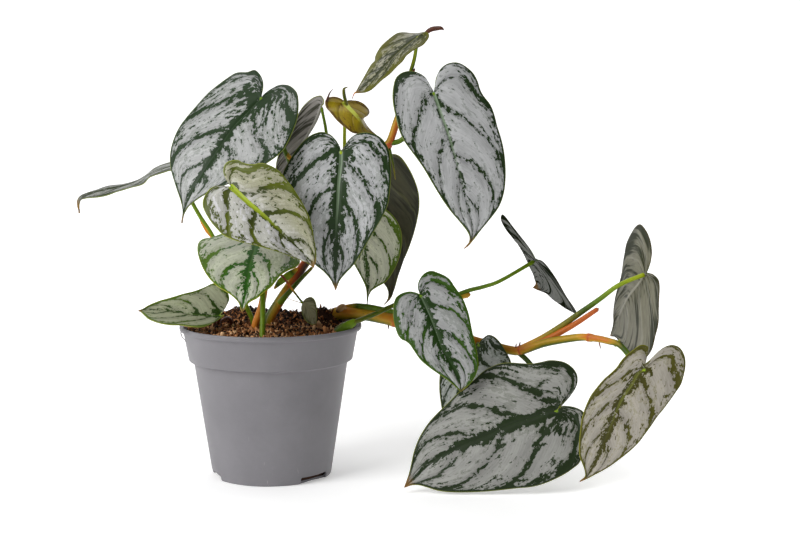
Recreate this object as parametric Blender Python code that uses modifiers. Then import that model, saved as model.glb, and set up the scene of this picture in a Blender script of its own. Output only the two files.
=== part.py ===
"""Philodendron brandtianum in its grey nursery pot, as one still part.

Metres, +Z up. The origin is the centre of the pot's flat underside, and the
plant climbs and trails towards +X, with its best side facing -Y.
"""
import math

import bmesh
import bpy
from mathutils import Vector, noise

MM = 0.001

# Pot: a 12 cm nursery pot
POT_SIDES = 48
LIP_R = 60.0
LIP_TOP = 100.6
LIP_BOTTOM = 97.2
BAND_TOP_R = 57.5
BAND_BOTTOM_R = 54.2
BAND_BOTTOM = 77.8
BODY_TOP_R = 50.8
BASE_R = 39.6
WALL = 1.2
FLOOR_T = 1.5
NOTCH_ANGLES = (-48, -168, 72)
NOTCH_W = 18.0
NOTCH_H = 3.4

# Soil: a low mound with one plain hole for each stem
SOIL_EDGE_Z = 95.5
SOIL_MOUND = 4.5
SOIL_CENTRE = (0.0, 18.0)
SOIL_SPREAD = 28.0
SOIL_RINGS = 6
SOIL_SIDES = 24
HOLE_BOTTOM = 87.5
GAP = 0.3
SOIL_GAP = 0.7

# Blades: one outline, in blade lengths, x across and y from the petiole to the tip
OUTLINE = (
    (0.03, -0.075), (0.09, -0.135), (0.18, -0.150), (0.28, -0.105),
    (0.355, 0.01), (0.385, 0.16), (0.37, 0.35), (0.308, 0.54),
    (0.218, 0.71), (0.125, 0.845), (0.037, 0.945), (0.0, 1.0),
)
FAN = 0.31
BLADE_T = 0.8
ROWS = 11
HALF_COLUMNS = 3

# Every blade: where its petiole meets it, its tip, the way its upper side faces (mm),
# then the widths, fullness and lobe depth of its two halves and its bends (degrees)
LEAVES = {
    "leaf_upper_left": dict(base=(-4, -12, 249), tip=(-52, -40, 171), face=(-0.45, -0.85, 0.35),
                            width=(1.02, 0.96), full=(-0.08, 0.0), lobe=(1.25, 1.2), bow=0.07,
                            hook=-0.03, bend=30, curl=10, fold=6, dome=0.4, look="silver"),
    "leaf_young_front": dict(base=(-19, -52, 194), tip=(32, -62, 145), face=(-0.1, -0.8, 0.5),
                             width=(0.95, 1.0), full=(-0.25, 0.1), lobe=(1.1, 1.1),
                             bend=35, fold=8, dome=0.3, look="young"),
    "leaf_low_front": dict(base=(-7, -15, 157), tip=(-11, -78, 119), face=(0, -0.5, 0.9),
                           width=(1.28, 1.05), lobe=(1.3, 1.0), bend=25, fold=5, dome=0.3,
                           look="green"),
    "leaf_centre": dict(base=(48, -30, 215), tip=(44, -38, 128), face=(-0.05, -1, 0.1),
                        width=(0.98, 0.96), full=(0.1, 0.0), bow=0.03,
                        bend=25, fold=5, dome=0.3, look="silver"),
    "leaf_behind_centre": dict(base=(62, 25, 168), tip=(63, 20, 110), face=(0.1, -1, 0.1),
                               width=(0.9, 1.12), full=(-0.4, 0.0), hook=0.03,
                               bend=20, fold=5, dome=0.3, look="green"),
    "leaf_shaded": dict(base=(70, 42, 200), tip=(75, 45, 108), face=(0.5, 0.8, 0.3),
                        width=(0.8, 0.8), hook=0.05, bend=30, fold=5, dome=0.3, look="green"),
    "leaf_upper_right": dict(base=(107, -25, 252), tip=(126, -45, 155), face=(0.3, -1, 0.3),
                             width=(0.80, 0.87), full=(-0.22, 0.15), lobe=(1.1, 1.35),
                             bow=-0.02, hook=0.09, bend=25, fold=5, dome=0.3, look="silver"),
    "leaf_top": dict(base=(97, 0, 289), tip=(56, -10, 252), face=(-0.4, -0.45, 0.8),
                     width=(0.66, 0.93), bend=25, fold=5, dome=0.3, look="green"),
    "leaf_young_curled": dict(base=(51, 0, 246), tip=(68, 10, 226), face=(0, -1, 0.3),
                              width=(1.3, 0.8), bend=15, fold=8, dome=0.5, look="young"),
    "leaf_turned_back": dict(base=(34, 20, 243), tip=(-1, 35, 190), face=(-0.75, 0.5, 0.5),
                             width=(0.68, 0.9), bend=10, fold=12, dome=0.3, look="green"),
    "leaf_far_left": dict(base=(-59, 15, 205), tip=(-127, 0, 174), face=(-0.3, -0.2, 1),
                          width=(0.8, 0.8), bend=0, curl=80, fold=5, dome=0.3, look="silver"),
    "leaf_rim_left": dict(base=(-31, -20, 109), tip=(-83, -26, 114), face=(0, -0.7, 0.7),
                          width=(0.8, 0.8), full=(-0.25, 0.0), bend=10, fold=25, look="green"),
    "leaf_soil_small": dict(base=(25, -8, 115), tip=(31, -15, 102), face=(0.2, -1, 0.3),
                            bend=10, fold=5, look="green"),
    "leaf_rim_right": dict(base=(99, -25, 122), tip=(125, -42, 61), face=(0.1, -1, 0.25),
                           width=(0.92, 0.89), full=(0.0, 0.06), lobe=(0.9, 1.2),
                           hook=0.05, bend=15, fold=5, dome=0.3, look="silver"),
    "leaf_trailing_hidden": dict(base=(138, 5, 85), tip=(118, 12, 27), face=(0.2, -1, 0.3),
                                 bend=10, fold=5, dome=0.3, look="dark"),
    "leaf_trailing_large": dict(base=(186, -38, 49.5), tip=(90, -54, 3), face=(0, -0.9, 0.4),
                                width=(0.95, 0.92), full=(0.37, -0.05), lobe=(1.35, 1.1),
                                bend=10, fold=5, dome=0.2, look="dark"),
    "leaf_trailing_upright": dict(base=(247.5, -5, 134), tip=(237, 85, 80), face=(0.95, 0.22, 0.05),
                                  width=(0.93, 1.05), lobe=(1.0, 1.4), bend=20, fold=10, dome=0.3,
                                  look="green"),
    "leaf_trailing_end": dict(base=(240, -48, 78), tip=(198, -62, 10), face=(0.2, -1, 0.3),
                              width=(0.62, 0.88), full=(0.27, -0.17), lobe=(1.0, 1.9),
                              bend=10, fold=5, dome=0.3, look="olive"),
    "leaf_trailing_edgewise": dict(base=(178, 20, 140), tip=(182, 105, 113), face=(0.77, 0.1, 0.63),
                                   width=(1.15, 1.15), bend=10, curl=70, fold=5, dome=0.2,
                                   look="green"),
}

# Leafy stems: points in mm along each branch, its first and last radius, and the
# blade that its end carries
VINES = {
    "vine_climbing": (
        dict(points=((-2, 4, 88), (-2, 4, 95), (-2, 4, 102), (5, 6, 114), (13, 8, 126), (22, 9, 139),
                     (31, 10, 153), (39, 10, 165), (49, 10, 179), (59, 9, 194), (68, 8, 208),
                     (78, 6, 219), (84, 6, 236), (89, 6, 250), (92, 6, 264), (95, 5, 275)),
             radii=(3.2, 1.5), leaf="leaf_top", sides=8),
        dict(points=((22, 9, 139), (29, 5, 165), (36, 1, 185)), radii=(1.7, 1.3), leaf="leaf_centre"),
        dict(points=((31, 10, 153), (24, 8, 180), (14, 2, 205), (9, 0, 218), (4, 0, 232)),
             radii=(1.7, 1.3), leaf="leaf_upper_left"),
        dict(points=((39, 10, 165), (35, 12, 195), (37, 13, 222)), radii=(1.5, 1.1),
             leaf="leaf_turned_back"),
        dict(points=((49, 10, 179), (49, 8, 202), (49, 8, 225)), radii=(1.5, 1.1),
             leaf="leaf_young_curled"),
        dict(points=((31, 10, 153), (35, 22, 154), (45, 33, 158), (55, 36, 163)),
             radii=(1.5, 1.1), leaf="leaf_behind_centre"),
        dict(points=((49, 10, 179), (55, 16, 190), (62, 26, 196)), radii=(1.5, 1.1),
             leaf="leaf_shaded"),
        dict(points=((78, 6, 219), (87, 5, 222), (97, 3, 234)), radii=(1.8, 1.3),
             leaf="leaf_upper_right"),
        dict(points=((5, 4, 113), (11, 1, 120), (19, 2, 129), (28, 5, 138)), radii=(2.2, 1.0)),
    ),
    "vine_left": (
        dict(points=((-9, -14, 88), (-9, -14, 95), (-9, -14, 102), (-5, -13, 114),
                     (-3, -8, 128), (-4, 0, 145), (-8, 2, 162), (-14, -16, 179)),
             radii=(2.4, 1.3), leaf="leaf_young_front", sides=8),
        dict(points=((-3, -8, 128), (4, -12, 133), (13, -10, 130), (21, -4, 122)),
             radii=(0.9, 0.7), leaf="leaf_soil_small"),
    ),
    "vine_trailing": (
        dict(points=((35, 12, 88), (35, 12, 93), (36, 12, 99), (42, 12, 104.5), (51, 12, 106),
                     (63, 13, 105), (82, 14, 101), (106, 15, 95.5), (133, 15, 87), (158, 12, 81),
                     (167, 10, 81), (182, 4, 87), (201, -6, 92), (210, -12, 93), (221, -20, 92),
                     (229, -25, 89)),
             radii=(4.6, 1.8), leaf="leaf_trailing_end", sides=8),
        dict(points=((100, 15, 97), (112, 12, 110.5), (122, 9, 117.5), (131, 8, 121.5),
                     (142, 7, 124.5), (153, 8, 128.5)),
             radii=(1.7, 1.2), leaf="leaf_trailing_edgewise"),
        dict(points=((165, 10, 81), (179, 8, 88.5), (191, 6, 96.5), (204, 3, 106.5),
                     (217, 0, 116.5), (230, -4, 127)),
             radii=(2.6, 1.3), leaf="leaf_trailing_upright"),
        dict(points=((167, 10, 82), (183, 6, 89), (200, 2, 99), (217, -1, 111)), radii=(2.6, 0.6)),
        dict(points=((163, 11, 81), (172, 6, 73), (180, -8, 62)), radii=(1.8, 1.3),
             leaf="leaf_trailing_large"),
        dict(points=((124, 15, 90), (132, 20, 90)), radii=(1.6, 1.2), leaf="leaf_trailing_hidden"),
    ),
    "petiole_low_front": (
        dict(points=((-2, -41, 88), (-2, -41, 93), (-2, -41, 98), (-2, -36, 112), (-3, -26, 126),
                     (-6, -14, 138)),
             radii=(2.0, 1.4), leaf="leaf_low_front"),
    ),
    "petiole_far_left": (
        dict(points=((-12, 1, 88), (-12, 1, 95), (-12, 1, 102), (-18, 3, 115), (-27, 6, 134), (-39, 9, 158),
                     (-48, 11, 172), (-54, 13, 184)), radii=(1.8, 1.2), leaf="leaf_far_left"),
    ),
    "petiole_rim_left": (
        dict(points=((-26, 2, 88), (-26, 2, 94), (-26, 1.6, 100), (-28, -5, 105)), radii=(1.4, 1.1),
             leaf="leaf_rim_left"),
    ),
    "petiole_rim_right": (
        dict(points=((43, -22, 88), (43, -22, 93), (43.5, -22, 98), (48, -22, 102.5), (57, -21, 105),
                     (68, -18, 109), (80, -14, 114), (90, -12, 118)), radii=(1.8, 1.3),
             leaf="leaf_rim_right"),
    ),
}
# Swollen joints of the stems: centre in mm and radius
JOINTS = {
    "vine_climbing": (((22, 9, 139), 3.3), ((31, 10, 153), 3.2), ((49, 10, 179), 3.0),
                      ((78, 6, 219), 3.0)),
    "vine_trailing": (((106, 15, 95.5), 4.6), ((165, 10, 81), 4.4), ((210, -12, 93), 3.2)),
}

# Colour and roughness of each finish
LOOKS = {
    "silver": ((0.34, 0.37, 0.34), 0.45),
    "young": ((0.42, 0.46, 0.18), 0.40),
    "green": ((0.20, 0.28, 0.13), 0.45),
    "dark": ((0.13, 0.18, 0.12), 0.45),
    "olive": ((0.30, 0.30, 0.16), 0.45),
    "stem": ((0.34, 0.20, 0.07), 0.50),
    "petiole": ((0.16, 0.24, 0.05), 0.45),
    "pot": ((0.17, 0.17, 0.18), 0.50),
    "soil": ((0.11, 0.06, 0.035), 0.95),
}


def clear_scene():
    for old in list(bpy.data.objects):
        bpy.data.objects.remove(old, do_unlink=True)
    for name in ("philodendron", "cutters"):
        bpy.context.scene.collection.children.link(bpy.data.collections.new(name))


def paint(obj, look):
    """Give an object a material of its own, and smooth shading between its sharp edges."""
    colour, roughness = LOOKS[look]
    material = bpy.data.materials.new(f"{obj.name}_{look}")
    material.use_nodes = True
    shader = material.node_tree.nodes["Principled BSDF"]
    shader.inputs["Base Color"].default_value = (*colour, 1)
    shader.inputs["Roughness"].default_value = roughness
    obj.data.materials.append(material)
    if len(obj.data.polygons):
        obj.data.shade_smooth()
        obj.data.set_sharp_from_angle(angle=math.radians(40))


def new_object(name, bm, group="philodendron"):
    mesh = bpy.data.meshes.new(name)
    bm.to_mesh(mesh)
    bm.free()
    obj = bpy.data.objects.new(name, mesh)
    bpy.data.collections[group].objects.link(obj)
    if group == "cutters":
        obj.hide_render = True
        obj.display_type = "WIRE"
    return obj


def boolean(obj, other, operation):
    cut = obj.modifiers.new(other.name, "BOOLEAN")
    cut.operation = operation
    cut.solver = "EXACT"
    cut.object = other


def lathe(name, profile, sides):
    """Turn a profile of (radius, height) in mm, which starts and ends on the axis."""
    bm = bmesh.new()
    points = [bm.verts.new((r * MM, 0, z * MM)) for r, z in profile]
    for a, b in zip(points, points[1:]):
        bm.edges.new((a, b))
    obj = new_object(name, bm)
    turn = obj.modifiers.new("turn", "SCREW")
    turn.steps = sides
    turn.render_steps = sides
    turn.use_merge_vertices = True
    turn.merge_threshold = 0.00001
    turn.use_normal_calculate = True
    return obj


def make_pot():
    slope = (BODY_TOP_R - BASE_R) / BAND_BOTTOM
    profile = (
        (0, 0), (BASE_R - 1.4, 0), (BASE_R - 0.4, 0.4), (BASE_R, 1.4),
        (BODY_TOP_R, BAND_BOTTOM - 1.4), (BAND_BOTTOM_R - 0.4, BAND_BOTTOM - 0.3),
        (BAND_BOTTOM_R, BAND_BOTTOM + 0.3), (BAND_TOP_R, LIP_BOTTOM),
        (LIP_R - 0.3, LIP_BOTTOM + 0.3), (LIP_R, LIP_BOTTOM + 0.9), (LIP_R, LIP_TOP - 0.8),
        (LIP_R - 0.5, LIP_TOP - 0.1), (LIP_R - 1.1, LIP_TOP), (LIP_R - 1.8, LIP_TOP - 0.5),
        (BAND_TOP_R - WALL, LIP_BOTTOM), (BAND_BOTTOM_R - WALL, BAND_BOTTOM + WALL),
        (BODY_TOP_R - WALL, BAND_BOTTOM - 1.8), (BASE_R - WALL + slope * FLOOR_T, FLOOR_T + 1.0),
        (BASE_R - WALL - 1.0, FLOOR_T), (0, FLOOR_T),
    )
    pot = lathe("pot", profile, POT_SIDES)
    for number, angle in enumerate(NOTCH_ANGLES):
        turn = math.radians(angle)
        bm = bmesh.new()
        bmesh.ops.create_cube(bm, size=1)
        for vert in bm.verts:
            x = vert.co.x * 8 + BASE_R
            y = vert.co.y * NOTCH_W
            z = (vert.co.z + 0.5) * (NOTCH_H + 1) - 1
            vert.co.x = (x * math.cos(turn) - y * math.sin(turn)) * MM
            vert.co.y = (x * math.sin(turn) + y * math.cos(turn)) * MM
            vert.co.z = z * MM
        boolean(pot, new_object(f"notch_{number}", bm, "cutters"), "DIFFERENCE")
    paint(pot, "pot")


def soil_height(x, y):
    away = (x - SOIL_CENTRE[0]) ** 2 + (y - SOIL_CENTRE[1]) ** 2
    return SOIL_EDGE_Z + SOIL_MOUND * math.exp(-away / (2 * SOIL_SPREAD ** 2))


def make_soil():
    """A plug that fills the pot, lumpy on top, with a hole for every stem."""
    body = BODY_TOP_R - WALL - SOIL_GAP
    foot = BASE_R - WALL - SOIL_GAP
    top_r = BAND_BOTTOM_R - WALL - SOIL_GAP + 2.4
    profile = [(0, FLOOR_T + GAP), (foot - 1.2, FLOOR_T + GAP), (foot, FLOOR_T + 1.4)]
    profile += [(body, BAND_BOTTOM - 2), (BAND_BOTTOM_R - WALL - SOIL_GAP, BAND_BOTTOM + 1.6)]
    profile += [(top_r * (1 - k / SOIL_RINGS), SOIL_EDGE_Z) for k in range(SOIL_RINGS + 1)]
    bm = bmesh.new()
    points = [bm.verts.new((r * MM, 0, z * MM)) for r, z in profile]
    edges = [bm.edges.new(pair) for pair in zip(points, points[1:])]
    bmesh.ops.spin(bm, geom=points + edges, cent=(0, 0, 0), axis=(0, 0, 1), angle=2 * math.pi,
                   steps=SOIL_SIDES)
    bmesh.ops.remove_doubles(bm, verts=bm.verts, dist=0.00001)
    for vert in bm.verts:
        if vert.co.z > (SOIL_EDGE_Z - 1) * MM:
            x, y = vert.co.x / MM, vert.co.y / MM
            lump = 1.1 * noise.noise(Vector((x / 7, y / 7, 3.1)))
            vert.co.z = (soil_height(x, y) + lump) * MM
    bmesh.ops.recalc_face_normals(bm, faces=bm.faces)
    soil = new_object("soil", bm)
    for name, branches in VINES.items():
        x, y, _ = branches[0]["points"][0]
        radius = branches[0]["radii"][0] + 2 * GAP
        bm = bmesh.new()
        bmesh.ops.create_cone(bm, cap_ends=True, segments=16, radius1=radius * MM,
                              radius2=radius * MM, depth=30 * MM)
        bmesh.ops.translate(bm, verts=bm.verts, vec=(x * MM, y * MM, (HOLE_BOTTOM + 15) * MM))
        boolean(soil, new_object(f"hole_{name}", bm, "cutters"), "DIFFERENCE")
    paint(soil, "soil")


def smooth(points, share):
    """The point at a share of the way along a smooth line through the points."""
    last = len(points) - 1
    k = min(int(share * last), last - 1)
    f = share * last - k
    a, b = Vector(points[k]), Vector(points[k + 1])
    before = Vector(points[k - 1]) if k else 2 * a - b
    after = Vector(points[k + 2]) if k + 2 <= last else 2 * b - a
    bent = 2 * before - 5 * a + 4 * b - after
    return 0.5 * (2 * a + (b - before) * f + bent * f * f + (3 * a - before - 3 * b + after) * f ** 3)


def flat_blade(spec, u, v):
    """Where a grid point lies in the flat blade: u from edge to edge, v along the margin."""
    side = 0 if u > 0 else 1
    edge = smooth(OUTLINE, v)
    width = spec.get("width", (1, 1))[side]
    full = spec.get("full", (0, 0))[side]
    lobe = spec.get("lobe", (1, 1))[side]
    edge_x = max(edge[0], 0) * width
    edge_x *= 1 + full * math.sin(math.pi * min(1, max(0, (edge[1] - 0.2) / 0.8)))
    edge_y = edge[1] * lobe if edge[1] < 0 else edge[1]
    vein_y = max(0, (v - FAN) / (1 - FAN)) ** 0.92
    mid_y = vein_y + (edge_y - vein_y) * (0.3 if v > FAN else 0.5)
    t = abs(u)
    x = 2 * t * (1 - t) * 0.55 * edge_x + t * t * edge_x
    y = (1 - t) ** 2 * vein_y + 2 * t * (1 - t) * mid_y + t * t * edge_y
    return math.copysign(x, u), y


def arch(spec, y):
    """The bent midrib at y: its place along and above the blade, and its slope."""
    bend, curl = math.radians(spec.get("bend", 20)), math.radians(spec.get("curl", 0))
    steps = 40
    along, above, slope = 0.0, 0.0, 0.0
    for k in range(steps):
        middle = y * (k + 0.5) / steps
        slope = bend * middle + curl * max(0, (middle - 0.8) / 0.2) ** 1.5
        along += math.cos(slope) * y / steps
        above -= math.sin(slope) * y / steps
    slope = bend * y + curl * max(0, (y - 0.8) / 0.2) ** 1.5
    return along, above, slope


def blade_frame(spec):
    """Length, axes and turns which set the blade between its base and its tip."""
    along, above, _ = arch(spec, 1)
    hook = spec.get("hook", 0)
    axis = Vector(spec["tip"]) - Vector(spec["base"])
    length = axis.length / math.sqrt(along ** 2 + above ** 2 + hook ** 2)
    axis.normalize()
    face = Vector(spec["face"])
    normal = (face - axis * face.dot(axis)).normalized()
    pitch = math.atan2(above, along)
    yaw = math.atan2(hook, math.hypot(along, above))
    return length, axis.cross(normal), axis, normal, pitch, yaw


def place(spec, frame, x, along, above):
    length, across, axis, normal, pitch, yaw = frame
    forward = along * math.cos(pitch) + above * math.sin(pitch)
    height = above * math.cos(pitch) - along * math.sin(pitch)
    side = x * math.cos(yaw) - forward * math.sin(yaw)
    forward = x * math.sin(yaw) + forward * math.cos(yaw)
    return Vector(spec["base"]) + length * (across * side + axis * forward + normal * height)


def blade_point(spec, frame, u, v):
    """A grid point on the shaped blade, in mm."""
    x, y = flat_blade(spec, u, v)
    along, above, slope = arch(spec, y)
    rise = math.tan(math.radians(spec.get("fold", 0))) * (math.sqrt(x * x + 0.0009) - 0.03)
    rise -= spec.get("dome", 0) * x * x
    inside = min(1, max(0, y))
    x += spec.get("bow", 0) * 4 * inside * (1 - inside)
    x += spec.get("hook", 0) * max(0, (y - 0.75) / 0.25) ** 2
    return place(spec, frame, x, along + rise * math.sin(slope), above + rise * math.cos(slope))


def petiole_end(spec, below):
    """The point straight under the place where the petiole meets the blade."""
    return place(spec, blade_frame(spec), 0, 0, -below / blade_frame(spec)[0])


def make_leaf(name, spec):
    frame = blade_frame(spec)
    small = frame[0] < 35
    bm = bmesh.new()
    bmesh.ops.create_grid(bm, x_segments=2 * (2 if small else HALF_COLUMNS),
                          y_segments=ROWS - 4 if small else ROWS, size=1)
    for vert in bm.verts:
        vert.co = blade_point(spec, frame, vert.co.x, (vert.co.y + 1) / 2) * MM
    bmesh.ops.remove_doubles(bm, verts=bm.verts, dist=0.00005)
    bmesh.ops.triangulate(bm, faces=bm.faces, quad_method="SHORT_EDGE")
    leaf = new_object(name, bm)
    thick = leaf.modifiers.new("thickness", "SOLIDIFY")
    thick.thickness = BLADE_T * MM
    thick.offset = 0
    paint(leaf, spec["look"])


def branch_points(branch):
    points = [Vector(p) for p in branch["points"]]
    if "leaf" not in branch:
        return points
    spec = LEAVES[branch["leaf"]]
    points += [petiole_end(spec, below) for below in (9, 4, BLADE_T / 2 + GAP + 0.1)]
    return points


def make_tube(name, branch):
    points = branch_points(branch)
    count = 2 * len(points) - 1
    first, last = branch["radii"]
    curve = bpy.data.curves.new(name, "CURVE")
    curve.dimensions = "3D"
    curve.bevel_depth = MM
    curve.bevel_resolution = 2 if branch.get("sides") == 8 else 1
    curve.use_fill_caps = True
    line = curve.splines.new("POLY")
    line.points.add(count - 1)
    for k, point in enumerate(line.points):
        share = k / (count - 1)
        point.co = (*(smooth(points, share) * MM), 1)
        point.radius = first + (last - first) * share
    temp = bpy.data.objects.new(name, curve)
    bpy.data.collections["cutters"].objects.link(temp)
    solid = bpy.data.meshes.new_from_object(temp.evaluated_get(bpy.context.evaluated_depsgraph_get()))
    bpy.data.objects.remove(temp, do_unlink=True)
    bm = bmesh.new()
    bm.from_mesh(solid)
    bmesh.ops.remove_doubles(bm, verts=bm.verts, dist=0.00001)
    bmesh.ops.recalc_face_normals(bm, faces=bm.faces)
    return bm


def make_vine(name, branches):
    stem = new_object(name, make_tube(name, branches[0]))
    for number, branch in enumerate(branches[1:]):
        side = new_object(f"{name}_branch_{number}", make_tube(f"{name}_{number}", branch), "cutters")
        boolean(stem, side, "UNION")
    for number, (centre, radius) in enumerate(JOINTS.get(name, ())):
        bm = bmesh.new()
        bmesh.ops.create_icosphere(bm, subdivisions=2, radius=radius * MM)
        bmesh.ops.translate(bm, verts=bm.verts, vec=Vector(centre) * MM)
        boolean(stem, new_object(f"{name}_joint_{number}", bm, "cutters"), "UNION")
    paint(stem, "stem" if len(branches) > 1 else "petiole")


clear_scene()
make_pot()
make_soil()
for leaf_name, leaf_spec in LEAVES.items():
    make_leaf(leaf_name, leaf_spec)
for vine_name, vine_branches in VINES.items():
    make_vine(vine_name, vine_branches)
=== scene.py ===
"""Looks of a potted philodendron: marked blades, stems, sheaths, potting mix and pot.

Metres, +Z up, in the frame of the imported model: the pot stands on the origin, the stem
trails towards +X, and the photographed side faces -Y. Shapes are worked out in millimetres.
"""

import math
import random

import bmesh
import bpy
from mathutils import Euler, Matrix, Vector, noise


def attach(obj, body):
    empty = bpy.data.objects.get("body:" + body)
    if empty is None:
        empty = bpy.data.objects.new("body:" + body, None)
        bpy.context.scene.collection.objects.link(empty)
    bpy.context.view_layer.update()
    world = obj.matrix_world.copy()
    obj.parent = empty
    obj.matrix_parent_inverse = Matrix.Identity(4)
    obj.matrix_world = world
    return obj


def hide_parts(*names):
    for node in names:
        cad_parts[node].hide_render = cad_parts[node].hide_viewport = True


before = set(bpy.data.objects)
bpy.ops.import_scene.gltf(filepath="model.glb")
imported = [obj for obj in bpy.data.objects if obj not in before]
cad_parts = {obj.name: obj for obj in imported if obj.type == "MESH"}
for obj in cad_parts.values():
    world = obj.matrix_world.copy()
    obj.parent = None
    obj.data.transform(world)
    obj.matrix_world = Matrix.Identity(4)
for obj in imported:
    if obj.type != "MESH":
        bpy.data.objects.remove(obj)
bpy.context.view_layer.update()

MM = 0.001
BODY = "root"

# The photograph's viewpoint, 1 m in front of the pot
CAMERA_PLACE = (0.0855, -1.0, 0.25)
CAMERA_PITCH = 0.111
CAMERA_LENS = 68.67
SENSOR = 36
PICTURE = (800, 533)

# Pot: a 12 cm nursery pot
POT_STEPS = 144
LIP_R = 60.0
LIP_TOP = 100.6
LIP_BOTTOM = 97.2
BAND_TOP_R = 57.5
BAND_BOTTOM_R = 54.2
BAND_BOTTOM = 77.8
BODY_TOP_R = 50.8
BASE_R = 39.6
WALL = 1.2
FLOOR_T = 1.5
NOTCH_ANGLES = (-40, -160, 80)
NOTCH_W = 24.0
NOTCH_H = 4.6
CREASE = 38

# Potting mix: its level at the pot's wall, and heaps (x, y, rise, spread)
SOIL_EDGE_Z = 97.5
SOIL_HEAPS = (
    (0, 14, 2.5, 28), (-27, 42, 6.0, 12), (33, 40, 6.0, 9), (0, 50, 2.5, 16), (35, 7, 12.0, 5.5),
)
SOIL_R = 54.5
CRUST_T = 7
CRUMBS = 3400
CRUMB_SIZES = (0.3, 0.4, 0.55, 0.8)
CRUMB_TONES = (0.1, 0.3, 0.48, 0.66, 0.8, 0.92)
FIBRES = 150

# Blades: their thickness (mm), their grid and the run of their veins. Side veins leave the
# midrib below the share FAN of the margin, and sweep towards the tip
BLADE_T = 0.5
COLUMNS = 32
ROWS = 88
FAN = 0.31
RIB_EASE = 0.92
LATERALS = 5.5
SIDE_SHIFT = 0.35
SWEEP = 0.3
SWEEP_BEND = 1.25
SWEEP_START = 0.5
RIB_CROWDING = 1.25
SEAM = 0.02

# Every blade, with the same values as its solid: where its petiole meets it, its tip and the
# way its upper side faces (mm), its bend, the curl of its tip and the fold along its midrib
# (degrees), and how far it hooks aside and domes (shares of its length)
BLADES = {
    "upper_left": dict(base=(-4, -12, 249), tip=(-52, -40, 171), face=(-0.45, -0.85, 0.35),
                       hook=-0.03, bend=30, curl=10, fold=6, dome=0.4, look="silver"),
    "young_front": dict(base=(-19, -52, 194), tip=(32, -62, 145), face=(-0.1, -0.8, 0.5),
                        bend=35, fold=8, dome=0.3, look="young"),
    "low_front": dict(base=(-7, -15, 157), tip=(-11, -78, 119), face=(0, -0.5, 0.9),
                      bend=25, fold=5, dome=0.3, look="green"),
    "centre": dict(base=(48, -30, 215), tip=(44, -38, 128), face=(-0.05, -1, 0.1),
                   bend=25, fold=5, dome=0.3, look="silver"),
    "behind_centre": dict(base=(62, 25, 168), tip=(63, 20, 110), face=(0.1, -1, 0.1),
                          hook=0.03, bend=20, fold=5, dome=0.3, look="green"),
    "shaded": dict(base=(70, 42, 200), tip=(75, 45, 108), face=(0.5, 0.8, 0.3),
                   hook=0.05, bend=30, fold=5, dome=0.3, look="green"),
    "upper_right": dict(base=(107, -25, 252), tip=(126, -45, 155), face=(0.3, -1, 0.3),
                        hook=0.09, bend=25, fold=5, dome=0.3, look="silver"),
    "top": dict(base=(97, 0, 289), tip=(56, -10, 252), face=(-0.4, -0.45, 0.8),
                bend=25, look="green"),
    "young_curled": dict(base=(51, 0, 246), tip=(68, 10, 226), face=(0, -1, 0.3),
                         bend=15, look="young"),
    "turned_back": dict(base=(34, 20, 243), tip=(-1, 35, 190), face=(-0.75, 0.5, 0.5),
                        bend=10, look="green"),
    "far_left": dict(base=(-59, 15, 205), tip=(-127, 0, 174), face=(-0.3, -0.2, 1),
                     bend=0, curl=80, look="silver"),
    "rim_left": dict(base=(-31, -20, 109), tip=(-83, -26, 114), face=(0, -0.7, 0.7),
                     bend=10, fold=25, look="green"),
    "soil_small": dict(base=(25, -8, 115), tip=(31, -15, 102), face=(0.2, -1, 0.3),
                       bend=10, look="green"),
    "rim_right": dict(base=(99, -25, 122), tip=(125, -42, 61), face=(0.1, -1, 0.25),
                      hook=0.05, bend=15, fold=5, dome=0.3, look="silver"),
    "trailing_hidden": dict(base=(138, 5, 85), tip=(118, 12, 27), face=(0.2, -1, 0.3),
                            bend=10, fold=5, dome=0.3, look="dark"),
    "trailing_large": dict(base=(186, -38, 49.5), tip=(90, -54, 3), face=(0, -0.9, 0.4),
                           bend=10, fold=5, dome=0.2, look="dark"),
    "trailing_upright": dict(base=(247.5, -5, 134), tip=(237, 85, 80), face=(0.95, 0.22, 0.05),
                             bend=20, look="green"),
    "trailing_end": dict(base=(240, -48, 78), tip=(198, -62, 10), face=(0.2, -1, 0.3),
                         bend=10, fold=5, dome=0.3, look="olive"),
    "trailing_edgewise": dict(base=(178, 20, 140), tip=(182, 105, 113), face=(0.77, 0.1, 0.63),
                              bend=10, curl=70, look="green"),
}

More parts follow.
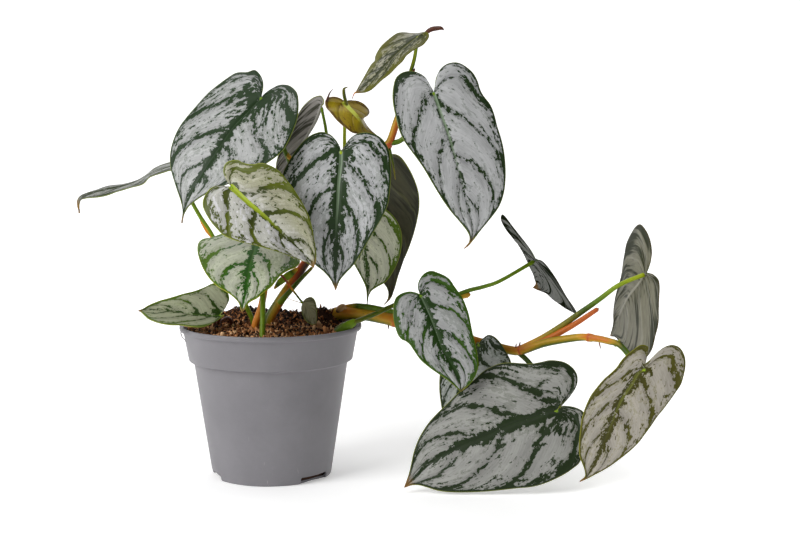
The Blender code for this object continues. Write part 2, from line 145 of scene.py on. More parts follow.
# Blades that roll or fold are drawn by three lines which end at the tip: both margins, from
# the petiole round the lobe, and the midrib. A point is where the photograph shows it
# (pixels) and how far behind the pot's middle it lies (mm)
DRAWN = {
    "top": dict(
        tip=(355, 93, -10),
        plus=((418, 36, 0), (424, 33, 8), (427, 31.5, 14), (418, 33, 20), (411, 33, 20),
              (400.6, 32.6, 18), (393.9, 35.3, 16), (384.4, 43.1, 12), (379.4, 48.7, 10),
              (375.6, 56, 8), (375, 61, 6), (371, 64.8, 4), (365, 75.3, 0), (358.5, 87, -6)),
        minus=((418, 36, 0), (422, 34, -1), (427, 32, -3), (429, 35.3, -6), (427.2, 39.8, -9),
               (422.8, 44.8, -12), (416, 48.7, -15), (407, 55.3, -18), (402.8, 60.9, -20),
               (397, 66.4, -21), (389.4, 74.2, -21), (380.6, 80.9, -20), (371.7, 89.2, -17),
               (365, 92.6, -13)),
        mid=((417.8, 36, 0), (405, 46, -5), (395, 55, -9), (385, 65, -12), (375, 76, -12),
             (365, 85, -11.5))),
    "young_curled": dict(
        tip=(376.5, 135, 0),
        plus=((345, 104, 0), (343, 100, -2), (336, 97, -4), (329, 97.5, -5), (325.3, 101, -5),
              (326, 107, -6), (330, 112, -8), (337.5, 121, -10), (346, 128, -11),
              (352, 132.4, -11), (358, 133.7, -9), (365, 133.3, -5), (369, 133.5, -2)),
        minus=((345, 104, 0), (347, 101, 2), (352, 100.3, 4), (358, 101, 7), (364, 104, 9),
               (368.5, 109, 9), (369.4, 113, 6), (367, 116, 3), (363, 118, 5), (366, 124, 3),
               (369, 128, 1), (373, 132, 0)),
        mid=((345, 104, 0), (350, 109, -3), (356, 115, -5), (361, 121, -6), (365.5, 128, -4),
             (371, 132.5, -1))),
    "turned_back": dict(
        tip=(271, 191, 36),
        plus=((320, 104, 24), (317, 100, 32), (314, 104, 38), (309, 114, 40), (302, 130, 41),
              (294, 148, 41), (286, 165, 40), (278, 180, 38)),
        minus=((321.5, 107, 15), (323.5, 102, 17), (322, 97, 20), (319.5, 95.3, 22),
               (312, 98, 24), (303, 106, 26), (296, 118, 28), (289, 132, 30), (282, 147, 32),
               (277.5, 158, 33), (276, 168, 34), (277, 180, 35)),
        mid=((321.5, 107, 17), (316, 121, 20), (308.5, 134, 24), (300, 148, 28),
             (290, 164, 32), (280, 180, 35))),
    "far_left": dict(
        tip=(79.5, 213, 0),
        plus=((182.5, 164.6, 15), (190, 163, 18), (200, 165, 20), (197, 161, 33),
              (183, 161.5, 34), (170, 163, 33), (156, 167.5, 30), (147.5, 173.8, 27),
              (135.6, 180.6, 22), (122.5, 184, 18), (108.8, 185.6, 14), (97.5, 189.4, 10),
              (88.8, 192.5, 6), (81.3, 195.6, 3), (77.5, 200, 1), (77.6, 206, 0)),
        minus=((182.5, 164.6, 15), (191, 168, 6), (198, 172, -6), (190, 174, -11),
               (178, 172, -13), (170, 170.6, -13), (163.8, 172.5, -13), (150, 176.9, -13),
               (142.5, 183.8, -13), (130, 187.5, -13), (117.5, 191.3, -12), (107.5, 195, -11),
               (95, 197.5, -9), (85, 198.1, -5), (80.6, 200, -2), (79.3, 206, -1)),
        mid=((182.5, 164.6, 15), (165, 168, 4), (148, 176, 4), (130, 184, 3), (110, 189, 2),
             (93, 193, 1), (80, 198.5, 0), (78, 205, 0))),
    "soil_small": dict(
        tip=(316, 325, -12),
        plus=((303, 303.4, -8), (304.2, 300, -8), (307.5, 297.6, -8), (311.5, 297, -8),
              (314.7, 299.7, -8), (316.4, 305, -9), (317, 311, -10), (317, 318, -11)),
        minus=((303, 303.4, -8), (301.6, 306, -8), (301.4, 310, -9), (302.4, 314.5, -10),
               (304.2, 318.5, -10), (307, 322, -11), (310.5, 324.2, -11), (313.5, 325, -12)),
        mid=((303, 303.4, -8), (307.5, 307.5, -9), (311, 312.5, -9.5), (314, 319, -11))),
    "trailing_upright": dict(
        tip=(610.4, 335.8, 70),
        plus=((645.7, 274, -3), (652, 274, -14), (657.7, 279.6, -23), (659.3, 288.5, -25),
              (658.8, 298, -24), (658.5, 307.7, -23), (657.7, 320.6, -21), (655.3, 333.4, -16),
              (650.5, 351, -7), (640, 362, 12), (628, 358, 33), (617, 339, 53)),
        minus=((645.7, 274, -3), (650, 262, -11), (650.8, 250, -13), (648.5, 238, -10),
               (643, 227.5, -1), (638.5, 224.3, 6), (633.5, 229, 15), (627, 242, 28),
               (624.5, 256, 33), (621.6, 277, 40), (617, 295, 49), (614.4, 308, 55),
               (613, 325, 59)),
        mid=((645.7, 274, -3), (640.9, 282, 3), (628, 298.6, 22), (619, 318, 48))),
    "trailing_edgewise": dict(
        tip=(533.3, 287.7, 103),
        plus=((535.7, 260.4, 23), (543, 262, 10), (555, 278, 5), (567, 298, 10),
              (575.7, 311, 28), (573, 313, 42), (566, 309, 60), (556, 302, 78),
              (547, 294, 90), (540, 291, 98)),
        minus=((535.7, 260.4, 23), (531, 252, 12), (522, 240, 7), (511, 226, 9),
               (503, 215.5, 16), (500.5, 217, 40), (502, 223, 60), (508, 232, 72),
               (514, 238, 82), (524, 252, 92), (531, 268, 99), (537, 281, 102)),
        mid=((535.7, 260.4, 23), (537, 262, 40), (541, 270, 66), (542.5, 279, 88),
             (539, 286, 99))),
}

# The same lines of the other blades, in pixels. These lie in their own bent surface, and
# start at the petiole, a step before the first point
TRACED = {
    "upper_left": dict(
        tip=(181.7, 223),
        plus=((262, 92), (263.3, 84), (261, 76), (255, 70.3), (247, 72.5), (237, 73), (228, 78),
              (216, 87), (204, 97), (192, 110), (180, 125), (173.5, 140), (170.5, 155),
              (171, 169), (175.5, 184), (180.5, 200), (182.5, 212)),
        minus=((264, 95), (270, 89.5), (277, 85), (284, 84), (291, 86), (297, 93), (298.5, 101),
               (298.5, 110), (297, 120), (293, 131), (288, 142), (283, 150), (274, 158),
               (263, 165.5), (250, 173), (235, 181.5), (218, 189), (202.5, 196.5),
               (192, 204), (185.5, 211)),
        mid=((246, 113), (232, 128), (222, 143), (212, 158), (203, 172), (194, 187),
             (186.5, 203))),
    "young_front": dict(
        tip=(313.6, 267.6),
        plus=((228, 186.5), (219, 185), (211, 187), (205.5, 193), (203, 200), (203, 207),
              (206, 214), (211, 222), (217, 229), (223, 235), (232, 239.5), (243, 243),
              (255, 245.5), (268, 249), (282, 253.5), (296, 258.5), (307, 262.5)),
        minus=((228, 182), (225, 177), (223.5, 171), (225.5, 165), (231, 161.5), (238, 160.5),
               (244, 163.5), (253, 165), (262, 163.5), (271, 166), (279, 171), (286, 179),
               (293, 188), (300, 199), (306, 210), (311, 224), (314, 240), (316, 253),
               (315.5, 262)),
        mid=((241, 196), (251, 205), (262, 214), (273, 224), (283, 233.5), (294, 244),
             (304, 254), (310, 261))),
    "low_front": dict(
        tip=(242, 312),
        plus=((249, 238), (239, 234.5), (230, 233.5), (221, 234.5), (212, 237.5), (203, 239.5),
              (198.5, 244), (197.5, 251), (199, 259), (203, 269), (209, 278.5), (217, 286.5),
              (226, 291.5), (233, 297), (238.5, 303), (240.5, 309)),
        minus=((262, 240), (270, 243), (280, 247), (290, 252), (297, 257), (300, 262),
               (296, 267), (288, 271), (281, 275), (276, 281), (271, 286.5), (264, 292),
               (257, 298), (250, 302), (246.5, 306), (244.8, 310)),
        mid=((252.5, 255), (249, 267), (247, 279), (245.5, 291), (243.5, 302))),
    "centre": dict(
        tip=(335.5, 290),
        plus=((339.5, 147), (336, 140.5), (330, 134.5), (322, 132), (313, 134.5), (305, 140),
              (297, 149), (289, 161), (283, 173), (281, 186), (283, 202), (288, 219),
              (295, 235), (304, 250), (314, 263.5), (323, 271), (329.5, 278), (333, 284.5)),
        minus=((344, 148), (349, 140), (356, 134.5), (365, 132.5), (374, 134), (381, 138),
               (386, 144), (389.5, 152), (390.5, 163), (391, 176), (390, 190), (388, 204),
               (383, 216), (376, 228), (369, 240), (362, 252), (354.5, 264), (347, 272),
               (340.5, 279.5), (337.5, 286)),
        mid=((340.5, 165), (338.5, 185), (337.5, 205), (336, 230), (335.5, 255),
             (335.5, 275))),
    "behind_centre": dict(
        tip=(367, 305),
        plus=((362, 213), (356, 210), (349, 211), (344, 216), (342, 225), (343, 236),
              (346, 247), (350, 257), (355, 266), (360, 275), (364.5, 284), (366.5, 291),
              (367.1, 298)),
        minus=((368, 212), (374, 208), (381, 207.5), (388, 211), (394.5, 217.5), (399.5, 226),
               (402, 237), (401.3, 249), (398, 261.5), (393, 272), (386, 281.5), (378, 286.5),
               (372, 290.5), (369, 295.5), (367.8, 300)),
        mid=((364.5, 235), (365, 250), (366.5, 265), (368, 280), (367.8, 292))),
    "shaded": dict(
        tip=(384.5, 304.5),
        plus=((381, 171), (383, 163), (387, 156.5), (393, 154), (400, 156.5), (407, 165.5),
              (413, 177), (417.3, 190), (418.5, 203), (417, 218), (413.5, 233), (408.5, 248),
              (403, 262), (398.5, 275), (395, 287), (391, 297.5)),
        minus=((374, 171), (368, 168), (361, 171), (356, 180), (354, 192), (354.5, 206),
               (357, 221), (361, 235), (366, 248), (371.5, 260), (377, 271), (382.5, 281),
               (387.5, 288), (389.3, 294), (388, 300)),
        mid=((382, 193), (386, 211), (389, 229), (391, 247), (391.5, 264), (391.5, 279),
             (391, 290), (389, 299))),
    "upper_right": dict(
        tip=(464.5, 248.5),
        plus=((430, 86), (425, 77.5), (418, 72.5), (410, 70.5), (402, 72), (396, 77.5),
              (393.5, 86), (392.5, 97), (393.5, 108), (396, 119), (399.5, 131), (405, 142),
              (413, 153), (422, 166), (430, 179.5), (437, 191), (444, 202), (452, 213),
              (461, 223), (467.5, 231), (470, 238), (469, 243.5)),
        minus=((435, 86), (436.5, 77), (440, 69.5), (446, 64), (453, 62), (460, 63), (467, 67),
               (473.5, 73), (478, 81), (480.5, 89), (484, 96), (490, 104), (494, 114),
               (497, 126), (501, 139), (504, 153), (505.5, 168), (505.5, 181), (504, 193),
               (500, 205), (494, 214.5), (487, 223), (480, 231), (474, 239), (468, 246)),
        mid=((438, 105), (443, 119), (448, 133), (452, 146), (456, 160), (460, 174),
             (463.5, 188), (467, 202), (470.5, 216), (472.5, 229), (471, 240))),
    "rim_left": dict(
        tip=(138.5, 310.5),
        plus=((221, 313.5), (224, 309.5), (227, 304.5), (229.3, 298.5), (227, 292),
              (221, 286.5), (213, 284.3), (204, 288), (193, 292), (181, 295), (170, 298.3),
              (160, 300.8), (150, 305), (143.5, 308.8)),
        minus=((221, 315.8), (224, 315.3), (220.5, 318.5), (215, 322), (209, 324.8),
               (201, 326.2), (191, 325.5), (181, 324.5), (171, 324.7), (162, 323.6),
               (154, 321.5), (148.5, 319), (144, 315), (140.5, 311.5)),
        mid=((206, 315.3), (193, 313.8), (180, 311.8), (166, 310.3), (152, 309.8))),
    "rim_right": dict(
        tip=(461, 391.5),
        plus=((419.5, 294.5), (415, 292.3), (409, 291.3), (402, 293), (396, 297.5),
              (393.7, 304), (393, 312), (393.5, 320), (395.5, 328), (398, 335), (401.5, 339.5),
              (406, 341.5), (410, 345), (414, 351), (420, 359.5), (428, 366.5), (437, 373),
              (446, 379), (454, 385.5), (459.5, 390.5)),
        minus=((419.5, 292), (418, 287), (419, 281), (422.5, 275.5), (427, 272), (432, 271),
               (438, 273), (445, 276), (450, 280), (454, 286), (458, 291.5), (462.5, 298),
               (466, 306), (469, 315), (471, 325), (473, 335), (475.5, 345), (477.5, 355),
               (478.3, 365), (476.5, 373), (473, 380), (468.5, 385.5), (464, 389.5)),
        mid=((425, 305), (430, 316), (434, 326), (438, 337), (442, 348), (448, 359),
             (454, 369), (459, 379))),
    "trailing_hidden": dict(
        tip=(450, 429),
        plus=((473, 345), (466, 343), (458, 345), (450, 351), (444, 360), (440.5, 370),
              (439.3, 381), (439.5, 393), (441.5, 407), (444, 416), (447, 423)),
        minus=((478, 345), (482, 339.5), (488, 335), (494, 336.5), (499.5, 341.5), (504, 348),
               (508, 355), (511, 363), (509, 375), (502, 388), (490, 402), (473, 416)),
        mid=((473, 366), (467, 383), (461, 400), (455, 416))),
    "trailing_large": dict(
        tip=(404.5, 487.5),
        plus=((561, 404.5), (566, 400), (571, 395), (575, 389), (577.5, 382), (577, 375),
              (574, 369.5), (569, 365), (563, 361.8), (556, 360.5), (549, 360.3), (541, 362),
              (532, 363.5), (522, 363.2), (511, 362.5), (500, 363.5), (490, 367.5),
              (482, 372.5), (474, 380), (466, 386.5), (457, 394), (447, 404), (438, 412.5),
              (430, 421), (423.5, 430), (418, 440), (414, 451), (411.5, 462), (409, 473),
              (406.5, 481)),
        minus=((562, 406.3), (568, 406.3), (574, 407.5), (579, 409.5), (583, 412), (586, 418),
               (587, 427), (586.5, 438), (584, 450), (580, 462), (573, 468.5), (564, 474.5),
               (554, 479.5), (543, 484), (531, 487), (518, 488), (505, 489.5), (492, 491),
               (478, 492), (464, 492.5), (450, 492.3), (438, 490.8), (427, 487.5),
               (419, 485.3), (411, 485.5)),
        mid=((546, 412), (535, 417), (522, 421), (510, 425), (498, 430), (486, 436),
             (473, 441), (460, 446), (448, 452), (437, 458.5), (426, 467), (415, 477))),
    "trailing_end": dict(
        tip=(579.7, 481.5),
        plus=((643.5, 362), (646, 356), (648.3, 350), (648, 346.5), (644, 344.8), (639, 345.5),
              (633, 350), (627, 354.5), (621, 361), (617, 367), (611, 373), (604, 379),
              (597, 387), (591, 395), (587, 403), (584, 411), (581.5, 420), (580.3, 430),
              (579.3, 440), (578.8, 449), (579.8, 457), (582.5, 464.5), (584.8, 471),
              (585.2, 476.5)),
        minus=((645, 364.5), (650, 360), (656, 354), (661, 349.5), (667, 346), (673, 345),
               (679, 347), (683, 352), (685.3, 359), (685.3, 367), (683.5, 376), (681, 384.5),
               (676, 392), (670, 400.5), (664, 408.5), (657, 417), (650.5, 426.5), (645, 434),
               (638.5, 442.5), (631, 450), (622, 457.5), (612, 465), (603, 470.5), (594, 475),
               (587, 478.5)),
        mid=((637, 375), (632, 384), (626, 393), (620.5, 402), (616.5, 411), (613, 420),
             (609.5, 429), (606, 438), (602, 447), (598, 457), (593, 467), (587, 476))),
}

# What a blade's markings are, over the plain values: the dark band beside the midrib (mm
# and strength), along the laterals, at the margin and round the petiole, loose spots, the
# bright line on the midrib (mm and strength), the stripes underneath, and how far the blade
# bulges between its veins and waves (mm)
PLAIN_MARKS = dict(seed=1, band=3.0, middle=0.7, lateral=0.5, margin=0.5, heart=7.0,
                   spots=0.0, half=0.2, streak=1.0, quilt=0.6, wave=1.0, rib=0.5, rib_line=0.35,
                   stripes=3.4)
MARKS = {
    "upper_left": dict(seed=3, band=4.6, middle=1.0, lateral=0.7, margin=0.48, heart=19,
                       rib=0.0, wave=1.3, half=0.35, spots=0.14),
    "young_front": dict(seed=5, band=1.8, middle=0.8, lateral=0.75, margin=0.56, heart=3,
                        quilt=1.1, rib=1.7, rib_line=1.0, wave=1.4, half=0.6, spots=0.2),
    "low_front": dict(seed=7, band=3.4, middle=1.1, lateral=0.75, margin=0.6, heart=6,
                      half=0.2, spots=0.08),
    "centre": dict(seed=11, band=5.0, middle=1.0, lateral=0.8, margin=0.48, heart=9,
                   spots=0.2, half=0.3, rib=1.1, rib_line=0.6),
    "behind_centre": dict(seed=13, band=2.5, middle=0.8, lateral=0.7, margin=0.6),
    "upper_right": dict(seed=17, band=2.4, middle=0.6, lateral=0.6, margin=0.52, heart=4,
                        rib=1.0, rib_line=0.8, wave=1.4, half=0.2),
    "top": dict(seed=19, band=2.0, middle=0.5, lateral=0.9, margin=1.0, spots=0.55,
                half=0.4, quilt=0.3, wave=0.6, streak=2.0),
    "young_curled": dict(seed=21, band=1.0, middle=0.2, lateral=0.4, margin=0.6, heart=1,
                         rib=2.0, rib_line=1.0, wave=0.9, half=0.5),
    "far_left": dict(seed=23, lateral=0.9, margin=0.8, spots=0.4, half=0.5),
    "rim_left": dict(seed=29, band=2.2, middle=0.7, lateral=0.8, margin=0.5, heart=6),
    "rim_right": dict(seed=31, band=4.5, middle=1.0, lateral=0.75, margin=0.65, heart=6,
                      spots=0.12, quilt=0.9, half=0.3),
    "trailing_hidden": dict(seed=37, band=4.0, middle=1.0, lateral=0.8, margin=0.5, spots=0.1),
    "trailing_large": dict(seed=41, band=4.6, middle=1.1, lateral=0.75, margin=0.58,
                           heart=13, rib=0.0, half=0.2, streak=0.8, spots=0.08),
    "trailing_end": dict(seed=43, band=4.0, middle=0.9, lateral=0.7, margin=0.42, heart=5,
                         rib=1.1, half=0.2, spots=0.08),
    "turned_back": dict(stripes=4.4),
    "trailing_upright": dict(stripes=4.4),
    "trailing_edgewise": dict(stripes=8.5),
    "soil_small": dict(seed=47, band=0.8, middle=0.3, lateral=0.2, margin=0.2, heart=1,
                       quilt=0.2, wave=0.3),
}

# Colours of each kind of blade, as the eye names them (0 to 255): the silver ground, its
# shaded patches, the dark markings, the rim line, the midrib, and the underside's
PALETTES = {
    "silver": dict(ground=(192, 192, 193), shade=(96, 104, 92), dark=(34, 56, 26),
                   rim=(118, 130, 52), rib=(128, 148, 118), under=(132, 126, 120),
                   under_dark=(70, 66, 50), under_rib=(168, 162, 142)),
    "young": dict(ground=(212, 210, 196), shade=(158, 158, 112), dark=(104, 112, 26),
                  rim=(150, 160, 50), rib=(150, 168, 10), under=(130, 130, 90),
                  under_dark=(90, 92, 34), under_rib=(170, 170, 110)),
    "green": dict(ground=(178, 184, 160), shade=(126, 140, 98), dark=(66, 92, 32),
                  rim=(140, 148, 60), rib=(92, 128, 52), under=(132, 128, 112),
                  under_dark=(74, 74, 44), under_rib=(160, 156, 120)),
    "dark": dict(ground=(160, 160, 155), shade=(92, 98, 84), dark=(34, 48, 22),
                 rim=(130, 136, 50), rib=(74, 108, 36), under=(100, 98, 90),
                 under_dark=(48, 52, 34), under_rib=(130, 130, 90)),
    "olive": dict(ground=(186, 182, 168), shade=(130, 126, 88), dark=(92, 92, 40),
                  rim=(128, 128, 58), rib=(150, 158, 60), under=(120, 116, 96),
                  under_dark=(80, 80, 40), under_rib=(150, 146, 100)),
}
# Blades whose colours differ from their kind, with fresh marks near the margin, a warm half,
# or another gloss. Two grounds are painted light: lighter than their kind, to lift the shade
# that other blades cast on them
SHADES = {
    "upper_left": dict(ground=(170, 171, 170), dark=(22, 46, 10)),
    "young_front": dict(ground=(206, 205, 206), shade=(130, 132, 96), dark=(50, 60, 0),
                        fresh=(80, 90, 0), warm=(152, 148, 94), gloss=0.4),
    "low_front": dict(ground=(196, 200, 180), shade=(140, 152, 110), dark=(36, 88, 0),
                      fresh=(78, 112, 10), rim=(150, 150, 30)),
    "centre": dict(ground=(182, 183, 184), dark=(26, 48, 12)),
    # Painted light: the ground is lighter than its kind, lifting the shade that the centre blade
    # casts on this one
    "behind_centre": dict(ground=(216, 220, 196), shade=(150, 160, 120), dark=(50, 78, 14),
                          fresh=(84, 112, 20)),
    "shaded": dict(under=(74, 74, 52), under_dark=(42, 44, 24), under_rib=(104, 108, 66)),
    "upper_right": dict(ground=(182, 183, 183), dark=(28, 46, 14)),
    "top": dict(ground=(150, 147, 130), shade=(92, 94, 34), dark=(38, 44, 0),
                fresh=(84, 84, 0), rim=(90, 90, 10), rib=(136, 136, 40)),
    "young_curled": dict(ground=(160, 140, 4), shade=(132, 102, 0), dark=(92, 68, 0),
                         rim=(130, 100, 10), rib=(206, 214, 80), under=(150, 140, 50),
                         under_dark=(96, 84, 20), gloss=0.7),
    "turned_back": dict(under=(146, 142, 136), under_dark=(54, 54, 36),
                        under_rib=(186, 182, 176)),
    "far_left": dict(ground=(150, 150, 146), dark=(44, 54, 24), under=(130, 126, 118),
                     under_dark=(62, 62, 44)),
    "rim_left": dict(ground=(160, 164, 136), shade=(108, 120, 78), dark=(36, 60, 4),
                     fresh=(70, 96, 10)),
    "rim_right": dict(ground=(170, 171, 170), dark=(28, 54, 8), fresh=(50, 82, 10),
                      rim=(110, 130, 20)),
    # Painted light: the ground is lighter than its kind, lifting the shade that the rim blade
    # casts on this one
    "trailing_hidden": dict(ground=(196, 200, 196), shade=(110, 124, 106), dark=(44, 60, 32)),
    "trailing_end": dict(ground=(176, 170, 158), dark=(66, 64, 14), fresh=(80, 78, 20),
                         rim=(130, 130, 30)),
    "trailing_upright": dict(under=(128, 126, 108), under_dark=(36, 40, 10),
                             under_rib=(160, 158, 146), rim=(74, 64, 24), under_gloss=0.2),
    "trailing_edgewise": dict(under=(126, 128, 124), under_dark=(24, 30, 16),
                              under_rib=(130, 130, 128), rim=(50, 50, 30), under_gloss=0.0),
    "soil_small": dict(ground=(190, 190, 150), under=(168, 166, 130),
                       under_dark=(104, 106, 66)),
}
TIP_COLOUR = (140, 104, 50)
SINUS_COLOUR = (150, 196, 44)


def paint(red, green, blue):
    """A colour named in 0 to 255 as the eye sees it, as the linear colour a shader takes."""
    return tuple(
        (c / 12.92 if c <= 0.04045 else ((c + 0.055) / 1.055) ** 2.4)
        for c in (red / 255, green / 255, blue / 255)
    ) + (1.0,)


class Value:
    """A number that changes over a surface. Arithmetic on it adds Math nodes."""

    def __init__(self, finish, socket):
        self.finish = finish
        self.socket = socket

    def math(self, operation, *others):
        sockets = dict(enumerate((self, *others)))
        return self.finish.node("ShaderNodeMath", {"operation": operation}, sockets)

    def __add__(self, other):
        return self.math("ADD", other)

    def __sub__(self, other):
        return self.math("SUBTRACT", other)

    def __rsub__(self, other):
        return self.math("MULTIPLY_ADD", -1, other)

    def __mul__(self, other):
        return self.math("MULTIPLY", other)

    def __truediv__(self, other):
        return self.math("DIVIDE", other)

    def __pow__(self, other):
        return self.math("POWER", other)

    def __abs__(self):
        return self.math("ABSOLUTE")

    __radd__ = __add__
    __rmul__ = __mul__

    def least(self, other):
        return self.math("MINIMUM", other)

    def most(self, other):
        return self.math("MAXIMUM", other)

    def rise(self, low, high):
        """0 below low, 1 above high and smooth between. With low over high it falls."""
        settings = {"interpolation_type": "SMOOTHSTEP"}
        return self.finish.node("ShaderNodeMapRange", settings, {0: self, 1: low, 2: high})


class Finish:
    """One material, and the nodes that feed its Principled shader."""

    def __init__(self, name, **constants):
        self.material = bpy.data.materials.new(name)
        self.material.use_nodes = True
        self.tree = self.material.node_tree
        self.shader = self.tree.nodes["Principled BSDF"]
        for socket, value in constants.items():
            self.shader.inputs[socket.replace("_", " ")].default_value = value

    def node(self, kind, settings, sockets, output=0):
        """Add a node with its settings, and its sockets set or linked. Gives one output."""
        made = self.tree.nodes.new(kind)
        for name, value in settings.items():
            if name == "stops":
                set_stops(made.color_ramp, value)
            else:
                setattr(made, name, value)
        for name, value in sockets.items():
            if isinstance(value, Value):
                self.tree.links.new(value.socket, made.inputs[name])
            else:
                made.inputs[name].default_value = value
        return Value(self, made.outputs[output])

    def feed(self, **links):
        for socket, value in links.items():
            self.tree.links.new(value.socket, self.shader.inputs[socket.replace("_", " ")])

    def attribute(self, name, output):
        return self.node("ShaderNodeAttribute", {"attribute_name": name}, {}, output)

    def parts(self, vector):
        return [self.node("ShaderNodeSeparateXYZ", {}, {0: vector}, k) for k in range(3)]

    def vector(self, x, y, z):
        return self.node("ShaderNodeCombineXYZ", {}, {0: x, 1: y, 2: z})

    def object_place(self):
        return self.node("ShaderNodeTexCoord", {}, {}, "Object")

    def grain(self, place, scale, detail=2.0, rough=0.5, distort=0.0):
        sockets = {"Vector": place, "Scale": scale, "Detail": detail, "Roughness": rough,
                   "Distortion": distort}
        return self.node("ShaderNodeTexNoise", {}, sockets)

    def mix(self, share, first, second):
        sockets = {0: share, 6: first, 7: second}
        return self.node("ShaderNodeMix", {"data_type": "RGBA"}, sockets, 2)

    def tint(self, colour, amount):
        """A colour made lighter or darker by a number that changes over the surface."""
        settings = {"operation": "SCALE"}
        return self.node("ShaderNodeVectorMath", settings, {0: colour, "Scale": amount})

    def ramp(self, share, *stops):
        return self.node("ShaderNodeValToRGB", {"stops": stops}, {0: share})

    def bump(self, height, millimetres, strength=1.0):
        sockets = {"Strength": strength, "Distance": millimetres * MM, "Height": height}
        self.feed(Normal=self.node("ShaderNodeBump", {}, sockets))


def set_stops(ramp, stops):
    """Give a colour ramp its (place, colour) stops."""
    while len(ramp.elements) < len(stops):
        ramp.elements.new(1.0)
    for element, (place, colour) in zip(ramp.elements, stops):
        element.position = place
        element.color = colour


def seen(column, row, depth):
    """The point in mm, at a depth behind the pot's middle, that the photograph shows there."""
    pixel = CAMERA_LENS / SENSOR * PICTURE[0]
    side, up = (column - PICTURE[0] / 2) / pixel, (PICTURE[1] / 2 - row) / pixel
    low, level = math.sin(CAMERA_PITCH), math.cos(CAMERA_PITCH)
    ahead = Vector((side, up * low + level, up * level - low))
    eye = Vector(CAMERA_PLACE) / MM
    return eye + ahead * ((depth - eye.y) / ahead.y)


def between(values, share):
    """The value at a share of the way along a row of values."""
    last = len(values) - 1
    k = min(int(share * last), last - 1)
    return values[k] + (values[k + 1] - values[k]) * (share * last - k)


def smooth(points, share):
    """The point at a share of the way along a smooth line through the points."""
    last = len(points) - 1
    k = min(int(share * last), last - 1)
    f = share * last - k
    a, b = Vector(points[k]), Vector(points[k + 1])
    before = Vector(points[k - 1]) if k else 2 * a - b
    after = Vector(points[k + 2]) if k + 2 <= last else 2 * b - a
    bent = 2 * before - 5 * a + 4 * b - after
    cubic = 3 * a - before - 3 * b + after
    return 0.5 * (2 * a + (b - before) * f + bent * f * f + cubic * f ** 3)


def show(name, data):
    """Put a mesh, a lamp or a camera into the scene."""
    shown = bpy.data.objects.new(name, data)
    bpy.context.scene.collection.objects.link(shown)
    return shown


def as_mesh(name, bm, size=MM):
    """Turn a bmesh into a mesh at the given size, and free it."""
    bmesh.ops.scale(bm, vec=(size, size, size), verts=bm.verts)
    mesh = bpy.data.meshes.new(name)
    bm.to_mesh(mesh)
    bm.free()
    return mesh


def new_piece(name, bm, replaced=(), finishes=()):
    """Turn a bmesh in mm into a smooth piece which rides on the body."""
    mesh = as_mesh(name, bm)
    mesh.shade_smooth()
    piece = show(name, mesh)
    for finish in finishes:
        mesh.materials.append(finish)
    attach(piece, BODY)
    if replaced:
        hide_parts(*replaced)
    return piece


def thicken(piece, millimetres, offset):
    """Give an open surface its thickness."""
    thick = piece.modifiers.new("thickness", "SOLIDIFY")
    thick.thickness = millimetres * MM
    thick.offset = offset
    return thick


def close(bm, distance=0.01):
    """Merge the seams and poles of swept shapes, and turn their faces outwards."""
    bmesh.ops.remove_doubles(bm, verts=bm.verts, dist=distance)
    bmesh.ops.dissolve_degenerate(bm, edges=bm.edges, dist=0.001)
    bmesh.ops.recalc_face_normals(bm, faces=bm.faces)


# Blades

def arch(spec, y):
    """The bent midrib at y: its place along and above the blade, and its slope."""
    bend, curl = math.radians(spec["bend"]), math.radians(spec.get("curl", 0))
    steps = 20
    along, above = 0.0, 0.0
    for k in range(steps):
        middle = y * (k + 0.5) / steps
        slope = bend * middle + curl * max(0, (middle - 0.8) / 0.2) ** 1.5
        along += math.cos(slope) * y / steps
        above -= math.sin(slope) * y / steps
    return along, above, bend * y + curl * max(0, (y - 0.8) / 0.2) ** 1.5


def blade_frame(spec):
    """Length, axes and turns which set the blade between its base and its tip."""
    along, above, _ = arch(spec, 1)
    hook = spec.get("hook", 0)
    axis = Vector(spec["tip"]) - Vector(spec["base"])
    length = axis.length / math.sqrt(along ** 2 + above ** 2 + hook ** 2)
    axis.normalize()
    face = Vector(spec["face"])
    normal = (face - axis * face.dot(axis)).normalized()
    pitch = math.atan2(above, along)
    yaw = math.atan2(hook, math.hypot(along, above))
    return length, axis.cross(normal), axis, normal, pitch, yaw


def place(spec, setting, x, along, above):
    """A point of the arched blade, in mm, set between its base and its tip."""
    length, across, axis, normal, pitch, yaw = setting
    forward = along * math.cos(pitch) + above * math.sin(pitch)
    height = above * math.cos(pitch) - along * math.sin(pitch)
    side = x * math.cos(yaw) - forward * math.sin(yaw)
    forward = x * math.sin(yaw) + forward * math.cos(yaw)
    return Vector(spec["base"]) + length * (across * side + axis * forward + normal * height)


def bent(spec, setting, x, y, from_rib, rise):
    """A point of the flat blade, folded and domed across, and arched along."""
    along, above, slope = arch(spec, y)
    rise += math.tan(math.radians(spec.get("fold", 0))) * (math.hypot(from_rib, 0.03) - 0.03)
    rise -= spec.get("dome", 0) * from_rib ** 2
    return place(spec, setting, x, along + rise * math.sin(slope), above + rise * math.cos(slope))


def flattened(spec, setting, column, row):
    """The point of the flat blade that lies at a pixel once the blade is bent."""
    length, across, axis, normal = setting[:4]
    eye = Vector(CAMERA_PLACE) / MM
    aim = seen(column, row, 0) - eye
    x, y = 0.0, 0.5
    for _ in range(8):
        point = bent(spec, setting, x, y, x, 0)
        missed = eye + aim * ((point - eye).dot(normal) / aim.dot(normal)) - point
        x += missed.dot(across) / length
        y += missed.dot(axis) / length
    return Vector((x, y))


def petiole_end(spec, below):
    """The point straight under the place where the petiole meets the blade."""
    setting = blade_frame(spec)
    return place(spec, setting, 0, 0, -below / setting[0])


def down_rib(v):
    """How far down the midrib the side vein starts that meets the margin at v."""
    return max(0, (v - FAN) / (1 - FAN)) ** RIB_EASE


def along_veins(u, v):
    """The vein a point lies on: side veins sweep from the midrib towards the tip."""
    share = min(1, v / SWEEP_START)
    return v - SWEEP * abs(u) ** SWEEP_BEND * share * share * (3 - 2 * share)


